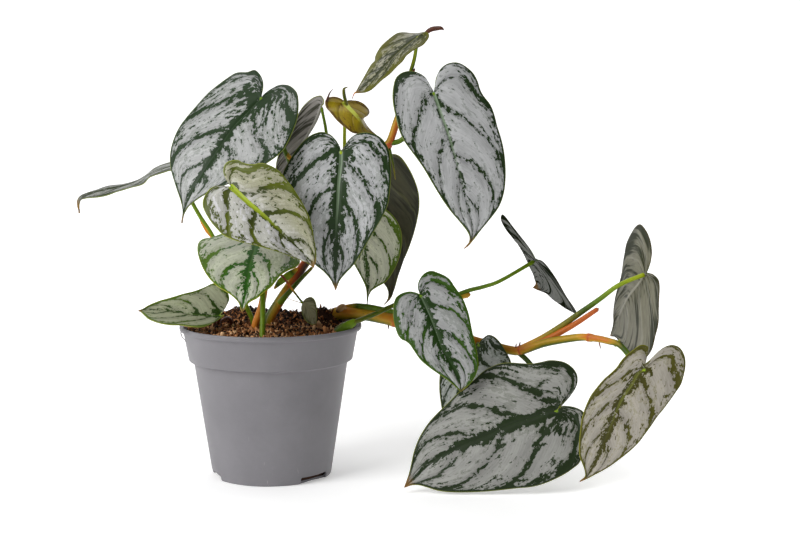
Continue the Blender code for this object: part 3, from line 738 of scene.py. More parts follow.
def relief(marks, length, u, v, rib_mm):
    """How far a point stands out of the smooth blade, in mm: veins sink, the rest bulges."""
    from_edge = 1 - abs(u)
    phase = along_veins(u, v) * LATERALS + (SIDE_SHIFT if u > 0 else 0)
    pillow = abs(math.sin(math.pi * phase)) ** 0.7 - 0.6
    height = marks["quilt"] * pillow * min(1, 4 * abs(u)) * min(1, 5 * from_edge)
    height -= 0.9 * math.exp(-(rib_mm / 1.3) ** 2) * (1 - v ** 3)
    roll = noise.noise(Vector((1.4 * u, 4.5 * v, marks["seed"] * 7.3)))
    ripple = noise.noise(Vector((2.5 * u, 13 * v, marks["seed"] * 3.1)))
    height += marks["wave"] * (roll * min(1, 2 * abs(u)) + 0.45 * ripple * u * u)
    return height * min(1, length / 80)


def blade_grid():
    """A fine grid in vein coordinates, with a layer for the distances from rib and edge."""
    bm = bmesh.new()
    veins = bm.loops.layers.uv.new("veins")
    distances = bm.verts.layers.float_vector.new("distances")
    bmesh.ops.create_grid(bm, x_segments=2 * COLUMNS, y_segments=ROWS, size=1)
    spots = {}
    for vert in bm.verts:
        x, y, _ = vert.co
        spots[vert] = (math.copysign(abs(x) ** RIB_CROWDING, x), (y + 1) / 2)
    for face in bm.faces:
        for loop in face.loops:
            u, v = spots[loop.vert]
            loop[veins].uv = ((u + 1) / 2, v)
    return bm, distances, [(vert, u, v) for vert, (u, v) in spots.items()]


def drawn_mesh(lines, marks):
    """A blade between its drawn midrib and margins, with its relief along its own surface."""
    bm, distances, spots = blade_grid()
    plus, minus, mid = (
        [seen(*p) for p in lines[key] + (lines["tip"],)] for key in ("plus", "minus", "mid")
    )
    axis = mid[-1] - mid[0]
    heights = []
    for vert, u, v in spots:
        edge = smooth(plus if u > 0 else minus, v)
        rib = smooth(mid, down_rib(v))
        point = rib + (edge - rib) * abs(u)
        rib_mm = (point - rib).length
        along = (point - mid[0]).dot(axis) / axis.length_squared
        vert[distances] = (rib_mm, (edge - point).length, along)
        heights.append(relief(marks, axis.length, u, v, rib_mm))
        vert.co = point
    bm.normal_update()
    normals = [vert.normal.copy() for vert in bm.verts]
    for (vert, _, _), normal, height in zip(spots, normals, heights):
        vert.co += normal * height
    bmesh.ops.remove_doubles(bm, verts=bm.verts, dist=SEAM)
    return bm


def traced_mesh(spec, lines, marks):
    """A blade between its traced midrib and margins, bent, with the relief of its veins."""
    setting = blade_frame(spec)
    length = setting[0]
    plus, minus, mid = (
        [Vector((0, 0))] + [flattened(spec, setting, *p) for p in lines[key] + (lines["tip"],)]
        for key in ("plus", "minus", "mid")
    )
    bm, distances, spots = blade_grid()
    for vert, u, v in spots:
        edge = smooth(plus if u > 0 else minus, v)
        rib = smooth(mid, down_rib(v))
        reach = edge - rib
        t = abs(u)
        swept = Vector((reach.x * 0.55, reach.y * (0.3 if v > FAN else 0.5)))
        x, y = rib + 2 * t * (1 - t) * swept + t * t * reach
        rib_mm = math.hypot(x - rib.x, y - rib.y) * length
        vert[distances] = (rib_mm, math.hypot(edge.x - x, edge.y - y) * length, y)
        rise = relief(marks, length, u, v, rib_mm) / length
        vert.co = bent(spec, setting, x, y, x - rib.x if v > FAN else x, rise)
        vert.co.z = max(vert.co.z, BLADE_T)
    bmesh.ops.remove_doubles(bm, verts=bm.verts, dist=SEAM)
    return bm


class BladeMap:
    """Where a point of a blade lies, in the terms that its markings follow."""

    def __init__(self, finish, marks, base):
        self.finish = finish
        self.seed = marks["seed"] * 3.7
        self.size = marks["size"]
        veins = finish.parts(finish.attribute("veins", "Vector"))
        self.rib_mm, self.edge_mm, self.along = finish.parts(
            finish.attribute("distances", "Vector")
        )
        self.u = veins[0] * 2 - 1
        self.across = abs(self.u)
        sweep = veins[1].rise(0, SWEEP_START) * SWEEP
        self.lane = veins[1] - sweep * self.across ** SWEEP_BEND
        self.patches = self.grain(3.5, 15, 1, 3, 0.6)
        side = self.u.math("GREATER_THAN", 0) * SIDE_SHIFT
        phase = self.lane * LATERALS + side + (self.patches - 0.5) * 0.4
        self.from_vein = phase.math("PINGPONG", 0.5)
        settings = {"operation": "DISTANCE"}
        sockets = {0: finish.object_place(), 1: Vector(base) * MM}
        self.from_base = finish.node("ShaderNodeVectorMath", settings, sockets, "Value") / MM

    def grain(self, across, along, layer, detail, rough=0.5, distort=0.0):
        """Noise drawn out along the side veins."""
        spot = (self.u * (across * self.size), self.lane * (along * self.size), self.seed + layer)
        return self.finish.grain(self.finish.vector(*spot), 1, detail, rough, distort)


def markings(finish, blade, marks, blots, specks):
    """The dark marks, the half-dark patches round them, and the ragged line at the margin."""
    patches = blade.patches
    vein = (1 - blade.from_vein / 0.16).most(0)
    lateral = vein * ((patches - 0.5) * 2.6 + 0.85).most(0.1) * (1.3 * marks["lateral"])
    band = ((patches - 0.5) * 2.6 + 1).most(0.15) * blade.along.rise(1.05, 0.5) * marks["band"]
    middle = (1.25 - blade.rib_mm / (band + 0.3)).most(0).least(1) * marks["middle"]
    heart_reach = ((blots - 0.5) * 2.5 + 1).most(0.2) * marks["heart"]
    heart = (1.3 - blade.from_base / heart_reach).most(0).least(1)
    margin = blade.across.rise(0.62, 1.0) * marks["margin"]
    form = lateral.most(middle).most(heart) + margin
    jags = finish.grain(finish.object_place(), 420, 5, 0.7)
    score = form + (blots - 0.5) * 2.8 + (specks - 0.5) * 0.9 + (marks["spots"] - 0.08)
    score = score + (jags - 0.5) * 2.2
    half = (score + (patches - 0.5) * 2.4 + marks["half"]).rise(0.35, 0.5)
    line = (blade.edge_mm + (blots - 0.5) * 4).rise(1.5, 1.0)
    return score.rise(0.47, 0.53), half, line


def upper_finish(name, palette, marks, base):
    """Upper skin: silver ground, dark jagged patches on veins and margin, green sinus."""
    finish = Finish(name, Specular_IOR_Level=palette.get("gloss", 0.3))
    blade = BladeMap(finish, marks, base)
    patches = blade.patches
    blots = blade.grain(11, 40, 5, 5, 0.58, 0.25)
    specks = blade.grain(26, 90, 9, 3, 0.6)
    streaks = blade.grain(5, 170, 2, 3, 0.6)
    dark, half, line = markings(finish, blade, marks, blots, specks)

    ground = paint(*palette["ground"])
    if "warm" in palette:
        ground = finish.mix(blade.u.rise(0.15, -0.5) * 0.6, ground, paint(*palette["warm"]))
    colour = finish.mix(half * 0.42, ground, paint(*palette["shade"]))
    grey = 0.83 + (streaks - 0.5) * (0.7 * marks["streak"]) + (patches - 0.5) * 0.8
    # Painted shade and highlight: the colour is lighter on the bulges between the side veins and
    # darker along the sunken veins
    colour = finish.tint(colour, grey + blade.from_vein * 0.5 + (specks - 0.5) * 0.2)
    fresh = palette.get("fresh", palette["dark"])
    deep = finish.mix((blade.across + (patches - 0.5) * 1.5).rise(0.3, 0.9),
                      paint(*palette["dark"]), paint(*fresh))
    deep = finish.tint(deep, 0.45 + specks * 0.5 + patches * 0.6)
    colour = finish.mix(dark.most(line), colour, deep)
    rib_width = (1.15 - blade.along) * marks["rib"]
    on_rib = (blade.rib_mm - rib_width).rise(0.25, -0.1)
    on_rib = on_rib * blade.along.rise(0.72, 0.2) * marks["rib_line"]
    colour = finish.mix(on_rib, colour, paint(*palette["rib"]))
    colour = finish.mix(blade.edge_mm.rise(0.5, 0.25), colour, paint(*palette["rim"]))
    colour = finish.mix(blade.along.rise(0.93, 1.0), colour, paint(*TIP_COLOUR))
    colour = finish.mix(blade.from_base.rise(1.3, 0.2), colour, paint(*SINUS_COLOUR))

    finish.bump(streaks * 0.25 + blade.from_vein.rise(0.0, 0.12) * 0.6 + blots * 0.3, 0.35, 0.6)
    finish.feed(Base_Color=colour, Roughness=0.34 + patches * 0.16 + dark * 0.05)
    return finish.material


def under_finish(name, palette, marks, base):
    """Lower skin: duller and browner, with pale ribs and broad shaded stripes."""
    finish = Finish(name, Specular_IOR_Level=palette.get("under_gloss", 0.35))
    blade = BladeMap(finish, marks, base)
    stripes = blade.grain(1.6, 26, 4, 3, 0.6)
    flecks = blade.grain(9, 60, 7, 3, 0.6)
    shade = blade.across.rise(0.6, 1.0) * 0.8 + (stripes - 0.5) * marks["stripes"] + 0.3
    colour = finish.mix(shade.rise(0.2, 0.9), paint(*palette["under"]),
                        paint(*palette["under_dark"]))
    colour = finish.tint(colour, 0.85 + (flecks - 0.5) * 0.7)
    ridge = blade.from_vein.rise(0.07, 0.02) * blade.across.rise(0.02, 0.1)
    colour = finish.mix(ridge * 0.35, colour, paint(*palette["under_rib"]))
    on_rib = blade.rib_mm.rise(1.1, 0.5) * blade.along.rise(1.0, 0.3)
    colour = finish.mix(on_rib * 0.8, colour, paint(*palette["under_rib"]))
    colour = finish.mix(blade.edge_mm.rise(0.6, 0.3), colour, paint(*palette["rim"]))
    colour = finish.mix(blade.along.rise(0.93, 1.0), colour, paint(*TIP_COLOUR))
    finish.bump(stripes * 0.5 + blade.from_vein.rise(0.1, 0.0) * 0.7 + flecks * 0.3, 0.4, 0.6)
    finish.feed(Base_Color=colour, Roughness=0.45 + stripes * 0.15)
    return finish.material


def make_blade(name, spec):
    marks = {**PLAIN_MARKS, **MARKS.get(name, {})}
    marks["size"] = max(0.35, min(1.0, blade_frame(spec)[0] / 90))
    palette = {**PALETTES[spec["look"]], **SHADES.get(name, {})}
    if name in DRAWN:
        base = seen(*DRAWN[name]["mid"][0])
        bm = drawn_mesh(DRAWN[name], marks)
    else:
        base = spec["base"]
        bm = traced_mesh(spec, TRACED[name], marks)
    skins = [
        upper_finish(f"{name}_upper", palette, marks, base),
        under_finish(f"{name}_under", palette, marks, base),
    ]
    piece = new_piece(f"blade_{name}", bm, [f"leaf_{name}"], skins)
    thick = thicken(piece, BLADE_T, 0)
    thick.material_offset = 1
    thick.material_offset_rim = 0


# Stems and leaf stalks

def root(*places, tone=0.8, radii=(0.6, 0.5, 0.2)):
    """A short dark root on a joint, as the photograph shows it."""
    return dict(seen=places, radii=radii, tones=(tone, 1.0))


# Points in mm (or as seen, in pixels with a depth), radii and tones of the skin along the way
# (0 green, 0.45 ochre, 0.6 orange, 0.85 red-brown, 1 dark, 1.2 dry), the blade at the end and
# the swollen joints. A flat branch is a sheath. The round tones redden one side, and the two
# edges
VINES = {
    "vine_climbing": (
        dict(points=((-2, 4, 88), (-2, 4, 95), (-2, 4, 102), (5, 6, 114), (13, 8, 126),
                     (22, 9, 139), (31, 10, 153), (39, 10, 165), (49, 10, 179), (59, 9, 194),
                     (68, 8, 208), (78, 6, 219), (84, 6, 236), (89, 6, 250), (92, 6, 264),
                     (95, 5, 275)),
             radii=(3.2, 3.4, 3.3, 3.1, 2.9, 2.8, 2.7, 2.6, 2.4, 1.6, 1.3, 1.1), leaf="top",
             tones=(0.3, 0.3, 0.42, 0.6, 0.95, 0.74, 0.5, 0.4, 0.5, 0.6, 0.6, 0.3, 0.02, 0.0),
             round_tones=(0.2, 0.0), joints=(0.28, 0.33, 0.45, 0.68)),
        dict(points=((22, 9, 139), (29, 5, 165), (36, 1, 185)), radii=(1.7, 1.3),
             leaf="centre", tones=(0.25, 0.05)),
        dict(points=((31, 10, 153), (24, 8, 180), (14, 2, 205), (9, 0, 218), (4, 0, 232)),
             radii=(1.7, 1.3), leaf="upper_left", tones=(0.25, 0.15)),
        dict(points=((39, 10, 165), (35, 12, 195), (37, 13, 222)), radii=(1.5, 0.9),
             leaf="turned_back", tones=(0.2, 0.15)),
        dict(points=((49, 10, 179), (49, 8, 202), (49, 8, 225)), radii=(1.5, 1.2, 1.0),
             leaf="young_curled", tones=(0.1, 0.02, 0.0)),
        dict(seen=((425, 33.5, 8), (431, 29.5, 7), (437, 28.3, 6), (441, 28.2, 5), (444, 30, 5)),
             radii=(1.2, 1.6, 1.5, 1.2, 0.4), tones=(0.98, 1.0, 1.0), flat=0.5),
        dict(seen=((347, 106, 1), (346.3, 103.5, 0), (344.4, 96.3, 0), (343.8, 90, 0),
                   (345, 88.1, 0), (348.1, 86.9, 0)),
             radii=(1.4, 1.7, 1.9, 1.6, 1.0, 0.4), tones=(0.3, 0.3, 0.34), flat=0.5),
        dict(seen=((326, 102, -5), (327.5, 98.5, -5), (330, 92.5, -4), (333.5, 88.5, -4)),
             radii=(0.5, 0.7, 0.4, 0.15), tones=(1.0, 1.0)),
        dict(seen=((383, 150, 6), (386.5, 147, 2), (391, 143.5, 1)), radii=(1.6, 2.0, 1.0),
             tones=(0.62, 0.8)),
        dict(seen=((389, 148, 4), (391, 155, 2), (393.5, 166, 2), (395.4, 180, 2)),
             radii=(1.2, 0.9, 0.7, 0.3), tones=(0.2, 0.36)),
        dict(seen=((286, 152, 1), (289, 157, 0), (292, 159.5, -1)), radii=(1.3, 1.6, 1.1),
             tones=(0.3, 0.62)),
        dict(seen=((412, 75, 4), (413.8, 71, 2), (415, 68, 2)), radii=(0.8, 0.8, 0.3),
             tones=(0.4, 1.2)),
        root((356, 91.5, -10), (353.5, 95, -10), (352, 99.8, -10), tone=0.5,
             radii=(0.5, 0.3, 0.15)),
        dict(seen=((274, 289, 3), (280, 282, 2), (289, 275, 2), (298, 268, 4)),
             radii=(0.6, 2.2, 2.5, 1.0), tones=(0.5, 0.12, 0.1, 0.6), flat=0.35),
        dict(points=((31, 10, 153), (35, 22, 154), (45, 33, 158), (55, 36, 163)),
             radii=(1.5, 1.1), leaf="behind_centre", tones=(0.25, 0.1)),
        dict(points=((49, 10, 179), (55, 16, 190), (62, 26, 196)), radii=(1.5, 1.1),
             leaf="shaded", tones=(0.2, 0.1)),
        dict(points=((78, 6, 219), (87, 5, 222), (97, 3, 234)), radii=(1.8, 1.3),
             leaf="upper_right", tones=(0.2, 0.1)),
        dict(points=((5, 4, 113), (11, 1, 120), (19, 2, 129), (28, 5, 138)), radii=(2.2, 1.0),
             tones=(0.1, 0.35)),
    ),
    "vine_left": (
        dict(points=((-9, -14, 88), (-9, -14, 95), (-9, -14, 102), (-5, -13, 114),
                     (-3, -8, 128), (-4, 0, 145), (-8, 2, 162), (-14, -16, 179)),
             radii=(2.4, 2.3, 2.1, 1.8, 1.3), leaf="young_front",
             tones=(0.62, 0.62, 0.6, 0.5, 0.2, 0.1, 0.1)),
        dict(seen=((264, 283, -7), (272, 275, -11), (281.5, 275.5, -11), (290, 286.5, -9.5),
                   (298, 297, -8.5)),
             radii=(0.9, 0.8, 0.7, 0.6), leaf="soil_small", tones=(0.9, 1.0, 0.9, 0.3, 0.1)),
        dict(seen=((287, 297.5, -9), (292, 300, -9), (297, 301.5, -8.5), (303, 303.6, -8)),
             radii=(0.15, 0.25), tones=(0.7, 0.4)),
    ),
    "vine_trailing": (
        dict(points=((35, 12, 88), (35, 12, 93), (36, 12, 99), (42, 12, 104.5), (51, 12, 106),
                     (63, 13, 105), (82, 14, 101), (106, 15, 95.5), (133, 15, 87),
                     (158, 12, 81), (167, 10, 81), (182, 4, 87), (201, -6, 92), (210, -12, 93),
                     (221, -20, 92), (229, -25, 89)),
             radii=(4.6, 4.8, 5.0, 5.0, 4.6, 4.5, 4.5, 4.0, 3.4, 3.0, 3.0, 2.7, 2.5, 2.4, 2.2,
                    1.9, 1.6, 1.5, 1.4),
             leaf="trailing_end", round_tones=(-0.12, -0.18),
             tones=(1.0, 1.0, 0.66, 0.5, 0.58, 0.46, 0.6, 0.62, 0.6, 0.56, 0.62, 0.44, 0.46,
                    0.66, 0.6, 0.3, 0.1, 0.03, 0.0),
             joints=(0.335, 0.39, 0.55, 0.72)),
        dict(seen=((336.5, 312.5, 8), (340, 308.5, 7), (343.5, 307, 7), (346.5, 309, 7)),
             radii=(1.2, 2.4, 2.2, 0.8), tones=(1.0, 1.2, 1.15, 1.2)),
        dict(seen=((345, 305.5, 11), (356, 305.6, 10), (368, 307, 10), (380, 309, 11),
                   (393, 311.5, 12), (404, 314.5, 13)),
             radii=(0.5, 1.7, 2.0, 1.8, 1.5, 0.5), tones=(0.6, 0.24, 0.2, 0.2, 0.3), flat=0.5),
        root((366, 310.5, 14), (366.6, 306.5, 12), (366.8, 304, 12), tone=0.95),
        root((386, 312, 13), (385.5, 309, 12), (385, 306.2, 12), tone=0.95),
        root((388.6, 323, 13), (388.4, 326.5, 13), (388.2, 329.5, 13), tone=0.95),
        root((519, 348, 10), (519.6, 344.5, 9), (520.4, 341, 9)),
        root((515.6, 349, 10), (516, 345.5, 9), (516.4, 343, 9), radii=(0.5, 0.4, 0.2)),
        root((521.6, 352, 10), (522.2, 356, 9), (522.6, 359, 9)),
        root((599, 342, -12), (600, 346, -13), (600.5, 349, -13), radii=(0.5, 0.4, 0.2)),
        dict(seen=((614, 346, -18), (618, 343.5, -20), (619.5, 339.5, -20)),
             radii=(1.0, 1.4, 0.5), tones=(0.02, 0.0)),
        dict(points=((100, 15, 97), (112, 12, 110.5), (122, 9, 117.5), (131, 8, 121.5),
                     (142, 7, 124.5), (153, 8, 128.5)),
             radii=(1.7, 1.2), leaf="trailing_edgewise", tones=(0.24, 0.14)),
        dict(seen=((455, 298, 8), (461, 297, 7.5), (467, 295.5, 7.5), (470.5, 293.5, 7.5)),
             radii=(0.6, 1.4, 1.7, 0.9), tones=(0.4, 0.5, 0.56)),
        dict(points=((165, 10, 81), (179, 8, 88.5), (191, 6, 96.5), (204, 3, 106.5),
                     (217, 0, 116.5), (230, -4, 127)),
             radii=(2.6, 1.3), leaf="trailing_upright", tones=(0.62, 0.4, 0.3, 0.12, 0.02)),
        dict(points=((167, 10, 82), (183, 6, 89), (200, 2, 99), (217, -1, 111)),
             radii=(2.6, 2.2, 1.9, 1.5), tones=(0.6, 0.68, 0.7, 0.74)),
        dict(points=((163, 11, 81), (172, 6, 73), (180, -8, 62)), radii=(1.8, 1.3),
             leaf="trailing_large", tones=(0.3, 0.1)),
        dict(points=((124, 15, 90), (132, 20, 90)), radii=(1.6, 1.2),
             leaf="trailing_hidden", tones=(0.4, 0.2)),
    ),
    "petiole_low_front": (
        dict(points=((-2, -41, 88), (-2, -41, 93), (-2, -41, 98), (-2, -36, 112),
                     (-3, -26, 126), (-6, -14, 138)),
             radii=(2.0, 1.4), leaf="low_front", tones=(0.16, 0.1)),
    ),
    "petiole_far_left": (
        dict(points=((-12, 1, 88), (-12, 1, 95), (-12, 1, 102), (-18, 3, 115), (-27, 6, 134),
                     (-39, 9, 158), (-48, 11, 172), (-54, 13, 184)),
             radii=(1.8, 1.2), leaf="far_left", tones=(0.1, 0.15)),
        dict(seen=((198.5, 214, 11), (203, 222, 10), (208, 230.5, 9), (212, 238, 8)),
             radii=(0.5, 1.7, 1.9, 0.6), tones=(0.5, 0.6, 0.56), flat=0.4),
    ),
    "petiole_rim_left": (
        dict(points=((-26, 2, 88), (-26, 2, 94), (-26, 1.6, 100), (-28, -5, 105)),
             radii=(1.4, 1.1), leaf="rim_left", tones=(0.95, 1.0)),
    ),
    "petiole_rim_right": (
        dict(points=((43, -22, 88), (43, -22, 93), (43.5, -22, 98), (48, -22, 102.5),
                     (57, -21, 105), (68, -18, 109), (80, -14, 114), (90, -12, 118)),
             radii=(1.8, 1.3), leaf="rim_right", tones=(0.3, 0.27)),
        dict(seen=((336, 332, -24), (342, 328.5, -24), (349, 325, -23), (354.5, 322, -22),
                   (357, 321.5, -21)),
             radii=(0.8, 2.2, 2.9, 2.3, 0.8), tones=(0.22, 0.12), flat=0.3),
    ),
}


def rails(points, count):
    """Points along a smooth line, with two directions across it that don't twist."""
    line = [smooth(points, k / (count - 1)) for k in range(count)]
    across = Vector((0, 0, 1))
    frames = []
    for k, point in enumerate(line):
        ahead = (line[min(k + 1, count - 1)] - line[max(k - 1, 0)]).normalized()
        if k == 0 and abs(ahead.z) > 0.8:
            across = Vector((1, 0, 0))
        across = (across - ahead * across.dot(ahead)).normalized()
        frames.append((point, across, ahead.cross(across)))
    return frames


def add_tube(bm, points, radius, tone, sides=14, step=1.3, flat=1.0):
    """Sweep a round or flattened section along points. The radius is a function of the share
    of the way, and the tone one of that share and the angle round the tube."""
    total = sum((Vector(b) - Vector(a)).length for a, b in zip(points, points[1:]))
    rows = max(6, int(total / step))
    frames = rails(points, rows + 1)
    uvs = bm.loops.layers.uv.verify()
    tones = bm.verts.layers.float.get("tone") or bm.verts.layers.float.new("tone")
    made = bmesh.ops.create_grid(bm, x_segments=sides, y_segments=rows, size=1)["verts"]
    turned = {vert: (vert.co.x, (vert.co.y + 1) / 2) for vert in made}
    for face in {face for vert in made for face in vert.link_faces}:
        for loop in face.loops:
            x, share = turned[loop.vert]
            loop[uvs].uv = ((x + 1) / 2, share * total / 100)
    for vert, (x, share) in turned.items():
        centre, one, other = frames[round(share * rows)]
        angle = math.pi * x
        out = one * math.cos(angle) + other * (math.sin(angle) * flat)
        vert.co = centre + out * radius(share)
        vert[tones] = tone(share, angle)


def rounded(share, total, radius):
    """1 along a tube, and falling round to 0 at its two ends."""
    near = min(share, 1 - share) * total / max(radius, 0.1)
    return math.sqrt(max(0.0, 1 - (1 - min(1, near)) ** 2))


def branch_points(branch):
    """The points of a branch in mm, up to the blade that it carries."""
    points = [seen(*p) for p in branch.get("seen", ())] or [Vector(p) for p in branch["points"]]
    if branch.get("leaf") in DRAWN:
        points.append(seen(*DRAWN[branch["leaf"]]["mid"][0]))
    elif "leaf" in branch:
        points += [petiole_end(BLADES[branch["leaf"]], below) for below in (9, 4, 0.2)]
    return points


def add_branch(bm, branch):
    points = branch_points(branch)
    total = sum((b - a).length for a, b in zip(points, points[1:]))
    joints = branch.get("joints", ())
    one_side, both_sides = branch.get("round_tones", (0, 0))

    def radius(share):
        size = between(branch["radii"], share)
        for joint in joints:
            size += 0.7 * math.exp(-((share - joint) * total / 1.9) ** 2)
            size -= 0.3 * math.exp(-((share - joint) * total / 0.45) ** 2)
        if "leaf" in branch:
            size += 0.25 * math.exp(-((1 - share) * total / 4) ** 2)
        return size * rounded(share, total, size)

    def tone(share, angle):
        value = between(branch["tones"], share)
        value += one_side * math.cos(angle) + both_sides * math.cos(angle) ** 2
        for joint in joints:
            value = max(value, 0.78 * math.exp(-((share - joint) * total / 2.2) ** 2))
        return value

    sides = 16 if max(branch["radii"]) > 2 else 12
    step = 1.3 if "points" in branch else 0.6
    add_tube(bm, points, radius, tone, sides, step, branch.get("flat", 1.0))


def stem_finish():
    """Living skin, from green through ochre and orange to red-brown at the joints."""
    finish = Finish("stem_skin", Specular_IOR_Level=0.25)
    tone = finish.attribute("tone", "Fac")
    run = finish.parts(finish.attribute("UVMap", "Vector"))
    long_grain = finish.grain(finish.vector(run[0] * 5, run[1] * 7, 1.3), 1, 3)
    spots = finish.grain(finish.object_place(), 450, 3, 0.6)
    shade = tone + (long_grain - 0.5) * 0.4 + (spots - 0.5) * 0.12
    colour = finish.ramp(
        shade * 0.8,
        (0.0, paint(164, 180, 34)), (0.05, paint(120, 146, 22)), (0.1, paint(94, 124, 14)),
        (0.18, paint(56, 78, 4)), (0.27, paint(140, 126, 20)),
        (0.37, paint(196, 150, 38)), (0.47, paint(200, 116, 36)), (0.58, paint(184, 84, 38)),
        (0.7, paint(110, 54, 30)), (0.8, paint(44, 30, 20)), (0.9, paint(184, 146, 98)),
        (1.0, paint(206, 170, 120)),
    )
    finish.bump(long_grain + spots * 0.5, 0.25, 0.5)
    finish.feed(Base_Color=colour, Roughness=0.34 + long_grain * 0.2)
    return finish.material


def make_stems(skin):
    for name, branches in VINES.items():
        bm = bmesh.new()
        for branch in branches:
            add_branch(bm, branch)
        close(bm)
        new_piece(f"skin_{name}", bm, [name], [skin])


# Pot

def pot_profile():
    """The pot's section, as radius and height: its outside from the foot up, then its inside."""
    slope = (BODY_TOP_R - BASE_R) / BAND_BOTTOM
    return (
        (0, 0.9), (BASE_R - 5.0, 0.9), (BASE_R - 3.6, 0), (BASE_R - 1.4, 0),
        (BASE_R - 0.4, 0.3), (BASE_R, 1.4),
        (BODY_TOP_R - 0.15, BAND_BOTTOM - 2.4), (BODY_TOP_R + 0.1, BAND_BOTTOM - 1.5),
        (BODY_TOP_R + 0.8, BAND_BOTTOM - 1.0), (BAND_BOTTOM_R - 0.9, BAND_BOTTOM - 0.5),
        (BAND_BOTTOM_R - 0.2, BAND_BOTTOM - 0.1), (BAND_BOTTOM_R, BAND_BOTTOM + 0.8),
        (BAND_TOP_R - 0.1, LIP_BOTTOM - 1.0), (BAND_TOP_R + 0.3, LIP_BOTTOM - 0.3),
        (LIP_R - 1.1, LIP_BOTTOM), (LIP_R - 0.3, LIP_BOTTOM + 0.3), (LIP_R, LIP_BOTTOM + 1.0),
        (LIP_R, LIP_TOP - 0.9), (LIP_R - 0.35, LIP_TOP - 0.25), (LIP_R - 1.1, LIP_TOP),
        (LIP_R - 1.8, LIP_TOP - 0.4), (LIP_R - 2.2, LIP_TOP - 1.3),
        (BAND_TOP_R - WALL, LIP_BOTTOM), (BAND_BOTTOM_R - WALL, BAND_BOTTOM + WALL),
        (BODY_TOP_R - WALL, BAND_BOTTOM - 1.8), (BASE_R - WALL + slope * FLOOR_T, FLOOR_T + 1.0),
        (BASE_R - WALL - 1.0, FLOOR_T), (0, FLOOR_T),
    )


def pot_finish():
    """Matt grey moulded plastic, cloudy, with a few pale rubs and dust near the foot."""
    finish = Finish("pot_plastic", Specular_IOR_Level=0.35)
    at = finish.object_place()
    cloud = finish.grain(at, 14, 4, 0.55)
    dust = finish.grain(at, 260, 4, 0.7)
    stretched = finish.node("ShaderNodeMapping", {}, {"Vector": at, "Scale": (1, 1, 0.12)})
    rubs = finish.grain(stretched, 340, 3, 0.7)
    height = finish.parts(at)[2] / MM
    near_foot = height.rise(26, 2)
    colour = finish.mix(cloud.rise(0.3, 0.7), paint(123, 121, 125), paint(134, 132, 136))
    colour = finish.tint(colour, 0.97 + (dust - 0.5) * 0.12)
    marks = rubs.rise(0.66, 0.74) * (near_foot * 0.5 + 0.08)
    colour = finish.mix(marks, colour, paint(176, 174, 170))
    finish.bump(dust * 0.5 + cloud, 0.12, 0.35)
    finish.feed(Base_Color=colour, Roughness=0.5 + (dust - 0.5) * 0.2 + marks * 0.1)
    return finish.material


def notch_cutter(number, angle):
    """A block with rounded long edges which cuts one drainage notch into the foot."""
    bm = bmesh.new()
    bmesh.ops.create_cube(bm, size=1)
    bmesh.ops.scale(bm, vec=(8, NOTCH_W, NOTCH_H + 1), verts=bm.verts)
    sides = [e for e in bm.edges if abs(e.verts[0].co.x - e.verts[1].co.x) > 1]
    bmesh.ops.bevel(bm, geom=sides, offset=1.0, segments=4, profile=0.5, affect="EDGES",
                    material=-1)
    bmesh.ops.translate(bm, vec=(BASE_R, 0, (NOTCH_H - 1) / 2), verts=bm.verts)
    turn = Matrix.Rotation(math.radians(angle), 3, "Z")
    bmesh.ops.rotate(bm, cent=(0, 0, 0), matrix=turn, verts=bm.verts)
    return show(f"notch_{number}", as_mesh(f"notch_{number}", bm))


def make_pot():
    bm = bmesh.new()
    points = [bm.verts.new((r, 0, z)) for r, z in pot_profile()]
    edges = [bm.edges.new(pair) for pair in zip(points, points[1:])]
    bmesh.ops.spin(bm, geom=points + edges, cent=(0, 0, 0), axis=(0, 0, 1),
                   angle=2 * math.pi, steps=POT_STEPS, use_merge=True)
    bmesh.ops.remove_doubles(bm, verts=bm.verts, dist=0.005)
    bmesh.ops.recalc_face_normals(bm, faces=bm.faces)
    pot = new_piece("pot_shell", bm, ["pot"], [pot_finish()])
    cutters = [notch_cutter(number, angle) for number, angle in enumerate(NOTCH_ANGLES)]
    for cutter in cutters:
        cut = pot.modifiers.new("notch", "BOOLEAN")
        cut.operation = "DIFFERENCE"
        cut.object = cutter
    evaluated = pot.evaluated_get(bpy.context.evaluated_depsgraph_get())
    notched = bpy.data.meshes.new_from_object(evaluated)
    pot.modifiers.clear()
    pot.data = notched
    for cutter in cutters:
        bpy.data.objects.remove(cutter, do_unlink=True)
    pot.data.shade_smooth()
    pot.data.set_sharp_from_angle(angle=math.radians(CREASE))


# Potting mix

def soil_height(x, y):
    height = SOIL_EDGE_Z + 1.2 * noise.noise(Vector((x / 7, y / 7, 3.1)))
    for middle_x, middle_y, rise, spread in SOIL_HEAPS:
        away = (x - middle_x) ** 2 + (y - middle_y) ** 2
        height += rise * math.exp(-away / (2 * spread ** 2))
    return height


def soil_finish(name, loose):
    """Peat and coir: dark patches at random, brown crumbs and orange-brown chips. Loose bits
    have a tone each."""
    finish = Finish(name, Specular_IOR_Level=0.15)
    at = finish.object_place()
    grain = finish.grain(at, 900, 4, 0.7)
    patches = finish.grain(at, 120, 2)
    if loose:
        share = finish.attribute("tone", "Fac") + (grain - 0.5) * 0.35
    else:
        share = patches * 0.3 + (grain - 0.5) * 0.5
    colour = finish.ramp(
        share,
        (0.0, paint(20, 12, 8)), (0.25, paint(64, 38, 22)), (0.5, paint(138, 88, 50)),
        (0.75, paint(198, 138, 90)), (1.0, paint(236, 196, 150)),
    )
    finish.bump(grain, 0.5, 0.8)
    finish.feed(Base_Color=colour, Roughness=0.85 + (patches - 0.5) * 0.2)
    return finish.material


